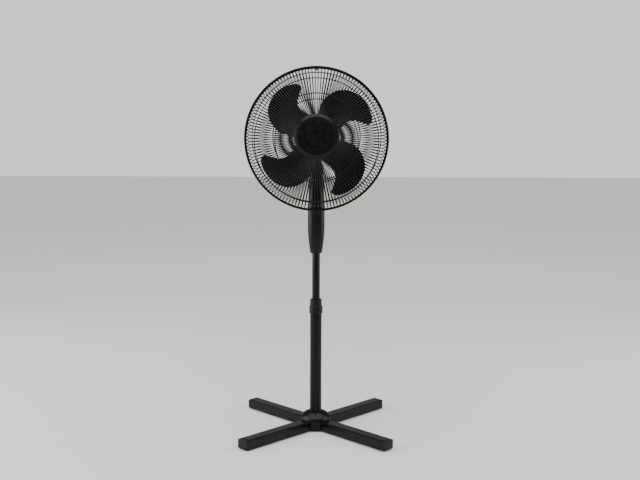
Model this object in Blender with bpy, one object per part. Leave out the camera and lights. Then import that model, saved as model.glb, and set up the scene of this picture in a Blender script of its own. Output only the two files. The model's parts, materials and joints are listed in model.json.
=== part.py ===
"""Pedestal fan on a cross base, modelled piece by piece.

Metres, +Z up.  The origin is on the floor under the pole and the fan blows towards -Y.
The head is built in its own frame: Y' is the shaft line, -Y' is the front, and Z' is
the upright axis that the head swings about.
"""
import math

import bmesh
import bpy
import numpy as np
from mathutils import Matrix, Vector

for old in list(bpy.data.objects):
    bpy.data.objects.remove(old, do_unlink=True)

# ---------------------------------------------------------------- driving dimensions
GAP = 0.0003              # clearance between pieces that touch

RAIL_REACH = 0.3095       # pole centre to the end of a leg
RAIL_WIDTH = 0.042
RAIL_BOTTOM = 0.004
RAIL_TOP = 0.0322
RAIL_WALL = 0.0015
CAP_LENGTH = 0.0117       # part of an end cap that shows
FOOT_AT = 0.283           # foot centre along a leg
FOOT_RADIUS = 0.011
HUB_RADIUS = 0.0485
HUB_RISE = 0.0294         # height of the hub dome's ellipse above the legs
HUB_WALL = 0.0022

LOWER_TUBE_R = 0.01875
LOWER_TUBE_TOP = 0.3992
TUBE_WALL = 0.0015
UPPER_TUBE_R = 0.0125
UPPER_TUBE_BOTTOM = 0.200
UPPER_TUBE_TOP = 0.640
COLLAR_BOTTOM = 0.3761
COLLAR_STEP = 0.4020
COLLAR_TOP = 0.4233
COLLAR_R = 0.02145
NUT_R = 0.01875

NECK_TOP = 0.8300
NECK_WALL = 0.0022
NECK_DEPTH = 0.88         # depth over width of the neck's section
NECK_SQUARENESS = 2.3     # exponent of the section's rounded outline
# height and half width of the neck where its outline changes
NECK_OUTLINE = ((0.5710, 0.0178), (0.5732, 0.0190), (0.6140, 0.0245), (0.6350, 0.0261),
                (0.6556, 0.0267), (0.7091, 0.0263), (0.7600, 0.0246), (0.8300, 0.0208))
KEY_CENTRE = 0.698        # height of the four speed keys
KEY_PITCH = 0.0046
KEY_SIZE = (0.0040, 0.0130, 0.0120)

TILT = math.radians(5.0)  # the head looks up a little
PIVOT_HEIGHT = 0.840      # tilt axis above the floor
PIVOT_DROP = 0.078        # tilt axis below the shaft line, along Z'
YOKE_R = 0.0095
YOKE_SIDES = (0.0120, 0.0190)   # inner and outer face of each yoke cheek

RIM_AT = -0.1343          # plane where the two guard halves meet, on Y'
RIM_R = 0.217
OUTER_RING_R = 0.1897
INNER_RING_R = 0.1276
GUARD_BARS = 16
CAP_R = 0.0651
CAP_FACE_R = 0.0546
CAP_FACE_AT = -0.2045

HOUSING_R = 0.0565
HOUSING_FRONT = -0.0597
HOUSING_REAR = 0.078
SHAFT_R = 0.004
BLADE_MID = -0.122
BLADE_THICK = 0.0020
WHEEL_AT = (0.0165, 0.019)     # worm wheel axis, x and y'
CRANK_AT = (0.0, 0.0325)       # crank axis, x and y'
CRANK_THROW = 0.0130           # crank axis to its pin
LINK_PIN_AT = (-0.0198, 0.0070)  # where the crank link is pinned to the bracket
LINK_LENGTH = 0.0310           # pin to pin; with the throw it swings the head 39 degrees each way
SLEEVE_TOP = 0.0316            # top of the bracket's sleeve, below the shaft line


# ---------------------------------------------------------------- materials
def material(name, colour, roughness, metallic=0.0):
    mat = bpy.data.materials.new(name)
    mat.use_nodes = True
    shader = mat.node_tree.nodes["Principled BSDF"]
    shader.inputs["Base Color"].default_value = (*colour, 1.0)
    shader.inputs["Roughness"].default_value = roughness
    shader.inputs["Metallic"].default_value = metallic
    return mat


def own(kind, name):
    """Each piece has a material of its own, made from one of these finishes."""
    colour, roughness, metallic = {
        "satin": ((0.012, 0.012, 0.013), 0.36, 0.0),
        "paint": ((0.010, 0.010, 0.011), 0.30, 0.0),
        "blade": ((0.014, 0.014, 0.015), 0.45, 0.0),
        "rubber": ((0.010, 0.010, 0.010), 0.85, 0.0),
        "steel": ((0.55, 0.55, 0.56), 0.32, 1.0),
        "cast": ((0.45, 0.46, 0.47), 0.50, 1.0),
        "copper": ((0.62, 0.24, 0.09), 0.40, 1.0),
        "bronze": ((0.50, 0.36, 0.16), 0.45, 1.0),
        "nylon": ((0.78, 0.77, 0.72), 0.50, 0.0),
        "block": ((0.05, 0.05, 0.055), 0.50, 0.0),
    }[kind]
    return material(name + "_" + kind, colour, roughness, metallic)


# ---------------------------------------------------------------- frames
def frame_empty(name, location=(0, 0, 0), rotation=(0, 0, 0), parent=None):
    empty = bpy.data.objects.new(name, None)
    bpy.context.scene.collection.objects.link(empty)
    empty.parent = parent
    empty.location = location
    empty.rotation_euler = rotation
    return empty


base = frame_empty("base_frame")
mast = frame_empty("mast_frame")
bracket = frame_empty("tilt_axis", (0, 0, PIVOT_HEIGHT), (-TILT, 0, 0))
head = frame_empty("swing_axis", (0, 0, PIVOT_DROP), parent=bracket)
spin = frame_empty("spin_axis", parent=head)


# ---------------------------------------------------------------- mesh helpers
def add_object(name, bm, kind, parent, location=(0, 0, 0), rotation=(0, 0, 0), smooth=35):
    bmesh.ops.recalc_face_normals(bm, faces=bm.faces[:])
    mesh = bpy.data.meshes.new(name)
    bm.to_mesh(mesh)
    bm.free()
    if smooth:
        mesh.shade_smooth()
        mesh.set_sharp_from_angle(angle=math.radians(smooth))
    piece = bpy.data.objects.new(name, mesh)
    bpy.context.scene.collection.objects.link(piece)
    piece.parent = parent
    piece.location = location
    piece.rotation_euler = rotation
    if kind == "cutter":
        piece.hide_render = True
        piece.display_type = "WIRE"
    else:
        mesh.materials.append(own(kind, name))
    return piece


def turned(profile, segments, axis="Z", centre=(0, 0)):
    """A profile of (radius, height) points turned about an axis.

    A closed profile stays off the axis; one that starts and ends on it makes a solid.
    """
    bm = bmesh.new()
    points = {"Z": lambda r, h: (r, 0, h), "Y": lambda r, h: (r, h, 0), "X": lambda r, h: (h, r, 0)}
    verts = [bm.verts.new(points[axis](r, h)) for r, h in profile]
    ring = len(verts) if profile[0][0] > 0 else len(verts) - 1
    edges = [bm.edges.new((verts[i], verts[(i + 1) % len(verts)])) for i in range(ring)]
    direction = {"Z": (0, 0, 1), "Y": (0, 1, 0), "X": (1, 0, 0)}[axis]
    bmesh.ops.spin(bm, geom=verts + edges, cent=(0, 0, 0), axis=direction, angle=2 * math.pi,
                   steps=segments, use_merge=True)
    bmesh.ops.remove_doubles(bm, verts=bm.verts[:], dist=1e-6)
    shift = {"Z": (centre[0], centre[1], 0), "Y": (centre[0], 0, centre[1]),
             "X": (0, centre[0], centre[1])}[axis]
    bmesh.ops.translate(bm, verts=bm.verts[:], vec=shift)
    return bm


def ring_bm(inner, outer, low, high, segments, axis="Z", centre=(0, 0)):
    return turned([(inner, low), (outer, low), (outer, high), (inner, high)], segments, axis, centre)


def rod_bm(radius, low, high, segments, axis="Z", centre=(0, 0)):
    return turned([(0, low), (radius, low), (radius, high), (0, high)], segments, axis, centre)


def box_bm(low, high, bevel=0.0):
    bm = bmesh.new()
    size = Vector(high) - Vector(low)
    middle = (Vector(high) + Vector(low)) / 2
    bmesh.ops.create_cube(bm, size=1, matrix=Matrix.Translation(middle) @ Matrix.Diagonal((*size, 1)))
    if bevel:
        bmesh.ops.bevel(bm, geom=bm.edges[:], offset=bevel, segments=1, affect="EDGES")
    return bm


def loft_bm(sections):
    """Closed solid through sections with the same number of points."""
    bm = bmesh.new()
    loops = [[bm.verts.new(p) for p in section] for section in sections]
    count = len(loops[0])
    for lower, upper in zip(loops, loops[1:]):
        for i in range(count):
            j = (i + 1) % count
            bm.faces.new((lower[i], lower[j], upper[j], upper[i]))
    bm.faces.new(loops[0][::-1])
    bm.faces.new(loops[-1])
    return bm


def hollow_loft_bm(outer, inner):
    """Tube with open ends: two lofts of equal sections, joined at both ends."""
    bm = bmesh.new()
    out_loops = [[bm.verts.new(p) for p in section] for section in outer]
    in_loops = [[bm.verts.new(p) for p in section] for section in inner]
    loops = out_loops + in_loops[::-1] + out_loops[:1]
    count = len(loops[0])
    for first, second in zip(loops, loops[1:]):
        for i in range(count):
            j = (i + 1) % count
            bm.faces.new((first[i], first[j], second[j], second[i]))
    return bm


def boolean(target, tool, operation="DIFFERENCE"):
    modifier = target.modifiers.new(operation.title() + " " + tool.name, "BOOLEAN")
    modifier.operation = operation
    modifier.solver = "EXACT"
    modifier.object = tool


def tool_for(target, bm, operation="DIFFERENCE"):
    """Hidden shape that is cut from, or joined to, one piece."""
    number = len(target.modifiers) + 1
    tool = add_object(f"{target.name}_tool_{number}", bm, "cutter", target.parent,
                      target.location, target.rotation_euler, smooth=0)
    boolean(target, tool, operation)
    return tool


def merge_bm(*parts):
    """Put several closed shapes in one mesh, for use as a single cutter."""
    merged = bmesh.new()
    for part in parts:
        mesh = bpy.data.meshes.new("scratch")
        part.to_mesh(mesh)
        part.free()
        merged.from_mesh(mesh)
        bpy.data.meshes.remove(mesh)
    return merged


def toothed(count, root, tip):
    """Gear outline: two points on the tip circle and two on the root for each tooth."""
    points = []
    for tooth in range(count):
        for part, radius in ((0.00, root), (0.30, root), (0.42, tip), (0.88, tip)):
            angle = 2 * math.pi * (tooth + part) / count
            points.append((radius * math.cos(angle), radius * math.sin(angle)))
    return points


def gear_bm(count, root, tip, low, high, centre):
    outline = toothed(count, root, tip)
    return loft_bm([[(centre[0] + x, centre[1] + y, z) for x, y in outline] for z in (low, high)])


# ---------------------------------------------------------------- base
def rail_section(inset, along):
    """Rail section across the leg: a box with its two top edges bevelled off."""
    half, low, high = RAIL_WIDTH / 2 - inset, RAIL_BOTTOM + inset, RAIL_TOP - inset
    cut_side, cut_top = 0.0050 - 0.4 * inset, 0.0013 - 0.4 * inset
    return [(along, -half, low), (along, half, low), (along, half, high - cut_top),
            (along, half - cut_side, high), (along, -half + cut_side, high),
            (along, -half, high - cut_top)]


def make_rail(name, turn, notch_low, notch_high, hole_low, hole_high):
    end = RAIL_REACH - CAP_LENGTH - GAP
    rail = add_object(name, hollow_loft_bm([rail_section(0, -end), rail_section(0, end)],
                                           [rail_section(RAIL_WALL, -end), rail_section(RAIL_WALL, end)]),
                      "paint", base, rotation=(0, 0, turn), smooth=0)
    notch = RAIL_WIDTH / 2 + GAP
    tool_for(rail, box_bm((-notch, -0.03, notch_low), (notch, 0.03, notch_high)))
    holes = [rod_bm(0.0043, hole_low, hole_high, 16)]
    holes += [rod_bm(0.0031, 0.0, 0.0100, 12, centre=(side * FOOT_AT, 0)) for side in (-1, 1)]
    tool_for(rail, merge_bm(*holes))
    return rail


def make_leg_end(label, turn):
    """End cap with its plug, and the rubber foot under it."""
    show = RAIL_REACH - CAP_LENGTH
    plug = RAIL_WALL + GAP
    bevel = 0.0010
    sections = [rail_section(plug, show - 0.030), rail_section(plug, show), rail_section(0, show),
                rail_section(0, RAIL_REACH - bevel), rail_section(bevel, RAIL_REACH)]
    cap = add_object("end_cap_" + label, loft_bm(sections), "satin", base, rotation=(0, 0, turn), smooth=0)
    tool_for(cap, rod_bm(0.0031, 0.0, 0.0145, 12, centre=(FOOT_AT, 0)))
    foot_top = RAIL_BOTTOM - GAP
    profile = [(0, 0), (FOOT_RADIUS - 0.0008, 0), (FOOT_RADIUS, 0.0008), (FOOT_RADIUS - 0.0012, foot_top),
               (0.0028, foot_top), (0.0028, 0.0135), (0, 0.0135)]
    add_object("foot_" + label, turned(profile, 12, centre=(FOOT_AT, 0)), "rubber", base,
               rotation=(0, 0, turn))


def make_hub():
    def dome(radius, rise):
        angles = np.linspace(0, math.acos(0.0192 / radius), 5)
        return [(radius * math.cos(a), RAIL_TOP + rise * math.sin(a)) for a in angles]

    skirt = 0.0035
    outer = dome(HUB_RADIUS, HUB_RISE)
    inner = dome(HUB_RADIUS - HUB_WALL, HUB_RISE - HUB_WALL)
    profile = [(HUB_RADIUS, skirt)] + outer + inner[::-1] + [(HUB_RADIUS - HUB_WALL, skirt)]
    cover = add_object("hub_cover", turned(profile, 28), "satin", base)
    half = RAIL_WIDTH / 2 + 2 * GAP
    slots = []
    for turn in (math.pi / 4, -math.pi / 4):
        slot = box_bm((-0.07, -half, -0.01), (0.07, half, RAIL_TOP + GAP))
        bmesh.ops.rotate(slot, verts=slot.verts[:], cent=(0, 0, 0), matrix=Matrix.Rotation(turn, 3, "Z"))
        slots.append(slot)
    for slot in slots:
        tool_for(cover, slot)

    plate = RAIL_TOP + GAP
    sleeve = LOWER_TUBE_R - TUBE_WALL - 0.00035
    profile = [(0.0044, plate), (0.030, plate), (0.030, plate + 0.0025), (sleeve, plate + 0.0025),
               (sleeve, 0.080), (sleeve - 0.0025, 0.080), (sleeve - 0.0025, plate + 0.0060),
               (0.0044, plate + 0.0060)]
    add_object("tube_flange", turned(profile, 20), "steel", base)
    head_top = RAIL_BOTTOM - GAP
    profile = [(0, 0.0010), (0.0068, 0.0010), (0.0080, 0.0020), (0.0080, head_top), (0.0041, head_top),
               (0.0041, 0.0440), (0, 0.0440)]
    add_object("base_bolt", turned(profile, 12), "steel", base)


def make_base():
    middle = (RAIL_BOTTOM + RAIL_TOP) / 2
    make_rail("lower_rail", math.pi / 4, middle - GAP / 2, 0.05, 0.0, middle)
    make_rail("upper_rail", -math.pi / 4, -0.01, middle + GAP / 2, middle, 0.05)
    for number, label in enumerate(("rear_right", "rear_left", "front_left", "front_right")):
        make_leg_end(label, math.pi / 4 + number * math.pi / 2)
    make_hub()


# ---------------------------------------------------------------- pole
def make_pole():
    tube_low = RAIL_TOP + 2 * GAP + 0.0025
    add_object("lower_tube", ring_bm(LOWER_TUBE_R - TUBE_WALL, LOWER_TUBE_R, tube_low, LOWER_TUBE_TOP, 24),
               "paint", base)
    add_object("upper_tube", ring_bm(UPPER_TUBE_R - 0.0012, UPPER_TUBE_R, UPPER_TUBE_BOTTOM,
                                     UPPER_TUBE_TOP, 20), "paint", mast)
    add_object("guide_bush", ring_bm(UPPER_TUBE_R + GAP, LOWER_TUBE_R - TUBE_WALL - 0.00035,
                                     UPPER_TUBE_BOTTOM, UPPER_TUBE_BOTTOM + 0.030, 16), "nylon", mast)
    spigot, bore, edge = 0.0155, UPPER_TUBE_R + 0.0005, 0.0008
    fit = LOWER_TUBE_R + GAP
    profile = [(fit, COLLAR_BOTTOM), (COLLAR_R - edge, COLLAR_BOTTOM), (COLLAR_R, COLLAR_BOTTOM + edge),
               (COLLAR_R, COLLAR_STEP - edge), (COLLAR_R - edge, COLLAR_STEP), (spigot, COLLAR_STEP),
               (spigot, COLLAR_STEP + 0.0085), (bore, COLLAR_STEP + 0.0085), (bore, LOWER_TUBE_TOP + GAP),
               (fit, LOWER_TUBE_TOP + GAP)]
    add_object("collar", turned(profile, 24), "satin", base)
    low, lip = COLLAR_STEP + GAP, COLLAR_TOP - 0.0028
    profile = [(spigot + GAP, low), (NUT_R, low), (NUT_R, COLLAR_TOP - 0.0013), (NUT_R - 0.0013, COLLAR_TOP),
               (bore, COLLAR_TOP), (bore, lip), (spigot + GAP, lip)]
    nut = add_object("height_lock_nut", turned(profile, 24), "satin", base)
    mark = [(-0.0036, low + 0.0080), (0.0036, low + 0.0080), (0.0, low + 0.0012)]
    tool_for(nut, loft_bm([[(x, y, z) for x, z in mark] for y in (-0.030, 0.0012 - NUT_R)]))
    collet = add_object("collet", ring_bm(bore, spigot, COLLAR_STEP + 0.0088, lip - GAP, 16), "nylon", base)
    tool_for(collet, box_bm((-0.001, 0.0, 0.40), (0.001, 0.03, 0.44)))


# ---------------------------------------------------------------- neck
def neck_half_width(height):
    return float(np.interp(height, [z for z, _ in NECK_OUTLINE], [w for _, w in NECK_OUTLINE]))


def neck_sections(heights, inset):
    count = 18
    sections = []
    for z in heights:
        wide = neck_half_width(z) - inset
        deep = neck_half_width(z) * NECK_DEPTH - inset
        power = 2 / NECK_SQUARENESS
        loop = []
        for i in range(count):
            c, s = math.cos(2 * math.pi * i / count), math.sin(2 * math.pi * i / count)
            loop.append((wide * math.copysign(abs(c) ** power, c), deep * math.copysign(abs(s) ** power, s), z))
        sections.append(loop)
    return sections


def cheek_bm(low, high):
    """One side of the tilt yoke: a flat plate with a round top about the tilt axis."""
    turns = np.linspace(0, math.pi, 9)
    outline = [(-YOKE_R, NECK_TOP - 0.006), (YOKE_R, NECK_TOP - 0.006)]
    outline += [(YOKE_R * math.cos(a), PIVOT_HEIGHT + YOKE_R * math.sin(a)) for a in turns]
    return loft_bm([[(x, y, z) for y, z in outline] for x in (low, high)])


def make_neck():
    outer_heights = [z for z, _ in NECK_OUTLINE]
    block_top, roof = 0.600, NECK_TOP - 0.009
    inner_heights = [block_top] + [z for z in outer_heights if block_top < z < roof] + [roof]
    posts = ((0.668, 0.0235), (0.792, 0.0197))
    body = add_object("neck_body", loft_bm(neck_sections(outer_heights, 0)), "satin", mast)
    tool_for(body, loft_bm(neck_sections(inner_heights, NECK_WALL)))
    tool_for(body, rod_bm(UPPER_TUBE_R + GAP, 0.55, 0.62, 20))
    window_low, window_high, split = 0.606, 0.806, 0.006
    tool_for(body, box_bm((-0.04, split, window_low), (0.04, 0.04, window_high)))
    near, far = YOKE_SIDES
    tool_for(body, merge_bm(cheek_bm(-far, -near), cheek_bm(near, far)), "UNION")
    for height, deep in posts:
        tool_for(body, rod_bm(0.0040, -deep + 0.0010, 0.0040, 12, "Y", (0, height)), "UNION")
    holes = [rod_bm(0.0033, -0.03, 0.03, 16, "X", (0, PIVOT_HEIGHT))]
    holes += [rod_bm(0.0017, -0.0100, 0.0100, 10, "Y", (0, height)) for height, _ in posts]
    half = KEY_SIZE[2] / 2 + 0.0006
    reach = 1.5 * KEY_PITCH + KEY_SIZE[0] / 2 + 0.0006
    holes.append(box_bm((-reach, -0.03, KEY_CENTRE - half), (reach, -0.0150, KEY_CENTRE + half)))
    tool_for(body, merge_bm(*holes))

    shell = [z for z in outer_heights if z > 0.58]
    cover = add_object("neck_rear_cover", loft_bm(neck_sections(shell, 0)), "satin", mast)
    tool_for(cover, loft_bm(neck_sections(shell[:1] + inner_heights[1:], NECK_WALL)))
    tool_for(cover, box_bm((-0.04, split + GAP, window_low + GAP), (0.04, 0.04, window_high - GAP)),
             "INTERSECT")
    holes = []
    for number, (height, deep) in enumerate(posts):
        holes.append(rod_bm(0.0018, 0.010, 0.030, 10, "Y", (0, height)))
        holes.append(rod_bm(0.0038, deep - 0.0014, 0.030, 14, "Y", (0, height)))
        profile = [(0, -0.0080), (0.0014, -0.0070), (0.0014, deep - 0.0011), (0.0034, deep - 0.0011),
                   (0.0030, deep + 0.0003), (0, deep + 0.0003)]
        add_object(("neck_screw_lower", "neck_screw_upper")[number],
                   turned(profile, 12, "Y", (0, height)), "steel", mast)
    gland_height = 0.628
    gland_wall = neck_half_width(gland_height) * NECK_DEPTH
    tool_for(cover, merge_bm(holes[0], holes[2]))
    tool_for(cover, merge_bm(holes[1], holes[3]))
    tool_for(cover, rod_bm(0.0066, 0.010, 0.030, 16, "Y", (0, gland_height)))
    flange = gland_wall + GAP
    profile = [(0.0036, 0.0165), (0.0062, 0.0165), (0.0062, flange), (0.0088, flange), (0.0080, flange + 0.0028),
               (0.0050, flange + 0.0034), (0.0036, flange + 0.0034)]
    add_object("cord_gland", turned(profile, 16, "Y", (0, gland_height)), "rubber", mast)

    switch_front = -0.0105
    add_object("switch_block", box_bm((-0.0105, switch_front, 0.685), (0.0105, 0.0055, 0.711), 0.0008),
               "block", mast, smooth=0)
    add_object("run_capacitor", box_bm((-0.0090, -0.0090, 0.735), (0.0090, 0.0070, 0.770), 0.0010),
               "block", mast, smooth=0)
    for number in range(4):
        across = (number - 1.5) * KEY_PITCH
        rear = switch_front - 0.0028
        low = (-KEY_SIZE[0] / 2, rear - KEY_SIZE[1], -KEY_SIZE[2] / 2)
        high = (KEY_SIZE[0] / 2, rear, KEY_SIZE[2] / 2)
        add_object(f"speed_key_{number}", box_bm(low, high, 0.0005), "satin", mast,
                   location=(across, 0, KEY_CENTRE), smooth=0)

    seat = far + GAP
    profile = [(0, -seat - 0.0031), (0.0048, -seat - 0.0031), (0.0055, -seat - 0.0023), (0.0055, -seat),
               (0.0030, -seat), (0.0030, seat + 0.0029), (0, seat + 0.0029)]
    add_object("tilt_bolt", turned(profile, 16, "X", (0, PIVOT_HEIGHT)), "steel", mast)
    add_object("tilt_nut", ring_bm(0.0033, 0.0055, seat, seat + 0.0025, 12, "X", (0, PIVOT_HEIGHT)), "steel", mast)


# ---------------------------------------------------------------- tilt bracket and swing drive
def crank_pin_at_rest():
    """Crank pin from the crank axis, from the triangle of throw, link and centre distance."""
    run = Vector(LINK_PIN_AT) - Vector(CRANK_AT)
    cosine = (run.length_squared + CRANK_THROW ** 2 - LINK_LENGTH ** 2) / (2 * run.length * CRANK_THROW)
    angle = math.atan2(run.y, run.x) - math.acos(cosine)
    return CRANK_THROW * Vector((math.cos(angle), math.sin(angle)))


def make_bracket():
    """Lug on the tilt axis below, sleeve for the head's swing pin above, ear for the link."""
    up = PIVOT_DROP                      # the bracket's frame is on the tilt axis
    sleeve = add_object("swivel_bracket", rod_bm(0.0155, up - 0.0585, up - SLEEVE_TOP, 24), "cast", bracket)
    turns = np.linspace(math.pi, 2 * math.pi, 9)
    outline = [(YOKE_R * math.cos(a), YOKE_R * math.sin(a)) for a in turns]
    outline += [(YOKE_R, up - 0.0570), (-YOKE_R, up - 0.0570)]
    tool_for(sleeve, loft_bm([[(x, y, z) for y, z in outline] for x in (-0.0116, 0.0116)]), "UNION")
    pin_at = Vector(LINK_PIN_AT)
    ear = box_bm((0.0120, -0.004, up - 0.0390), (pin_at.length + 0.0036, 0.004, up - SLEEVE_TOP - 0.0002))
    bmesh.ops.rotate(ear, verts=ear.verts[:], cent=(0, 0, 0),
                     matrix=Matrix.Rotation(math.atan2(pin_at.y, pin_at.x), 3, "Z"))
    tool_for(sleeve, ear, "UNION")
    pin = rod_bm(0.0020, up - 0.0340, up - 0.0292, 12, centre=LINK_PIN_AT)
    tool_for(sleeve, pin, "UNION")
    tool_for(sleeve, rod_bm(0.0073, up - 0.0505, up - 0.0200, 20))
    tool_for(sleeve, rod_bm(0.0033, -0.02, 0.02, 16, "X"))

    # the link lies between the crank and the bracket's ear
    run = Vector(CRANK_AT) + crank_pin_at_rest() - pin_at
    length, turn = run.length, math.atan2(run.y, run.x)
    half = 0.0033
    arcs = [(length + half * math.cos(a), half * math.sin(a)) for a in np.linspace(-math.pi / 2, math.pi / 2, 7)]
    arcs += [(half * math.cos(a), half * math.sin(a)) for a in np.linspace(math.pi / 2, 1.5 * math.pi, 7)]
    link = add_object("crank_link", loft_bm([[(x, y, z) for x, y in arcs] for z in (-0.0010, 0.0010)]),
                      "steel", bracket, location=(*LINK_PIN_AT, up - 0.0302), rotation=(0, 0, turn))
    tool_for(link, merge_bm(rod_bm(0.0023, -0.01, 0.01, 12), rod_bm(0.0023, -0.01, 0.01, 12, centre=(length, 0))))


def make_gearbox():
    low, high = (-0.021, -0.0092, -0.022), (0.031, 0.0525, 0.0145)
    wall = 0.002
    case = add_object("gearbox_case", box_bm(low, high), "cast", head, smooth=0)
    tool_for(case, box_bm([v + wall for v in low], (high[0] - wall, high[1] - wall, high[2] + 0.01)))
    tool_for(case, rod_bm(0.0070, -0.0500, low[2] + wall / 2, 20), "UNION")
    holes = [rod_bm(0.0090, -0.02, 0.0, 16, "Y"), rod_bm(0.0034, -0.03, -0.01, 12, centre=CRANK_AT),
             rod_bm(0.0017, 0.045, 0.06, 10, "Y")]
    tool_for(case, merge_bm(*holes))
    lid = add_object("gearbox_lid", box_bm((low[0], low[1], high[2] + GAP), (high[0], high[1], high[2] + 0.0025)),
                     "cast", head, smooth=0)
    tool_for(lid, rod_bm(0.0035, 0.0, 0.03, 12, centre=WHEEL_AT))

    wheel = add_object("worm_wheel", gear_bm(14, 0.0100, 0.0115, -0.004, 0.004, (0, 0)), "nylon", head,
                       location=(*WHEEL_AT, 0), smooth=0)
    tool_for(wheel, rod_bm(0.0022, -0.0192, 0.0120, 12), "UNION")
    tool_for(wheel, gear_bm(6, 0.0038, 0.0050, -0.0180, -0.0120, (0, 0)), "UNION")
    crank = add_object("crank_gear", gear_bm(18, 0.0146, 0.0161, -0.0180, -0.0120, (0, 0)), "nylon", head,
                       location=(*CRANK_AT, 0), smooth=0)
    tool_for(crank, rod_bm(0.0030, -0.0270, -0.0130, 12), "UNION")
    tool_for(crank, rod_bm(0.0155, -0.0278, -0.0248, 20), "UNION")
    tool_for(crank, rod_bm(0.0020, -0.0288, -0.0260, 12, centre=crank_pin_at_rest()), "UNION")

    profile = [(0, 0.0125), (0.0030, 0.0125), (0.0030, 0.0580), (0.0082, 0.0580), (0.0090, 0.0590),
               (0.0080, 0.0700), (0.0095, 0.0730), (0.0088, 0.0755), (0, 0.0762)]
    add_object("oscillation_knob", turned(profile, 16), "satin", head, location=(*WHEEL_AT, 0))


# ---------------------------------------------------------------- motor
def make_motor():
    def bell(name, face, inner_face, joint):
        """Cup-shaped end bracket: a disc that holds the bearing, and a wall round the stator."""
        profile = [(0.0085, face), (0.0460, face), (0.0460, joint), (0.0445, joint), (0.0445, inner_face),
                   (0.0085, inner_face)]
        add_object(name, turned(profile, 20, "Y"), "cast", head)

    bell("motor_front_bell", -0.0645, -0.0625, -0.0412)
    bell("motor_rear_bell", -0.0170, -0.0190, -0.0408)
    stack_front, stack_rear = -0.0520, -0.0300
    add_object("stator_core", ring_bm(0.0280, 0.0440, stack_front, stack_rear, 20, "Y"), "steel", head)
    coil, sleeve = 0.0400, 0.0277
    profile = [(0.0267, -0.0595), (coil - 0.002, -0.0595), (coil, -0.0575), (coil, stack_front - GAP),
               (sleeve, stack_front - GAP), (sleeve, stack_rear + GAP), (coil, stack_rear + GAP),
               (coil, -0.0245), (coil - 0.002, -0.0225), (0.0267, -0.0225)]
    add_object("stator_winding", turned(profile, 20, "Y"), "copper", head)
    for name, low, high in (("front_bearing", -0.0668, -0.0585), ("rear_bearing", -0.0212, -0.0130)):
        add_object(name, ring_bm(SHAFT_R + GAP, 0.0082, low, high, 12, "Y"), "bronze", head)
    add_object("rotor_core", ring_bm(SHAFT_R + GAP, 0.0263, stack_front, stack_rear, 16, "Y"), "steel", spin)

    worm = [(0.0045 if i % 2 else 0.0036, 0.0285 - 0.0030 * i) for i in range(7)]
    profile = [(0, 0.0305), (0.0030, 0.0305), (0.0036, 0.0295)] + worm
    profile += [(SHAFT_R, 0.0090), (SHAFT_R, -0.1420), (0.0030, -0.1430), (0.0030, -0.1580), (0, -0.1580)]
    add_object("motor_shaft", turned(profile, 12, "Y"), "steel", spin)

    # rear shell: a straight drum with a rounded back, open at the front
    def shell(radius, back):
        drum_end, flat = 0.030, 0.034 - (HOUSING_R - radius)
        turns = np.linspace(0, math.pi / 2, 4)
        return [(flat + (radius - flat) * math.cos(a), drum_end + (back - drum_end) * math.sin(a)) for a in turns]

    wall = 0.002
    profile = [(HOUSING_R, HOUSING_FRONT)] + shell(HOUSING_R, HOUSING_REAR) + [(0.0017, HOUSING_REAR)]
    profile += [(0.0017, HOUSING_REAR - 0.0240), (0.0045, HOUSING_REAR - 0.0240), (0.0045, HOUSING_REAR - wall)]
    profile += shell(HOUSING_R - wall, HOUSING_REAR - wall)[::-1] + [(HOUSING_R - wall, HOUSING_FRONT)]
    cover = add_object("motor_rear_cover", turned(profile, 24, "Y"), "satin", head)
    tool_for(cover, rod_bm(0.0185, -0.080, -0.030, 24))
    tool_for(cover, rod_bm(0.0036, 0.040, 0.080, 12, centre=WHEEL_AT))
    slots = []
    for row, reach in ((1, 0.024), (2, 0.020), (3, 0.012)):
        for side in (-1, 1):
            height = side * (0.002 + 0.0068 * row)
            slots.append(box_bm((-reach, 0.072, height - 0.0014), (reach, 0.085, height + 0.0014)))
    tool_for(cover, merge_bm(*slots))
    profile = [(0, 0.0480), (0.0014, 0.0490), (0.0014, HOUSING_REAR + GAP), (0.0034, HOUSING_REAR + GAP),
               (0.0030, HOUSING_REAR + 0.0017), (0, HOUSING_REAR + 0.0017)]
    add_object("cover_screw", turned(profile, 12, "Y"), "steel", head)

    face, back, seam = -0.0702, -0.0675, HOUSING_FRONT - GAP
    nose, nose_end, bore = 0.0219, -0.0840, 0.0086
    profile = [(bore, nose_end), (nose, nose_end), (nose, face), (HOUSING_R, face), (HOUSING_R, seam),
               (HOUSING_R - wall, seam), (HOUSING_R - wall, back), (bore, back)]
    add_object("motor_front_shield", turned(profile, 28, "Y"), "satin", head)


# ---------------------------------------------------------------- guard
def guard_stations(side, hole):
    """Radius, depth and whether the band out to the next station is a closed ring.

    The bars run from the centre plate out over two rings, turn at the shoulder and come
    back to the rim.  side is -1 for the front half and 1 for the rear half.
    """
    ring = 0.0020
    stations = [(hole, 0.0627, True), (0.061, 0.0627, False),
                (INNER_RING_R - ring, 0.0602, True), (INNER_RING_R + ring, 0.0600, False),
                (0.160, 0.0567, False), (OUTER_RING_R - ring, 0.0500, True),
                (OUTER_RING_R + ring, 0.0480, False), (0.2025, 0.0300, False),
                (0.2075, 0.0050, False), (0.2108, 0.0023, True), (0.2143, 0.0022, True)]
    return [(r, RIM_AT + side * depth, closed) for r, depth, closed in stations]


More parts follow.
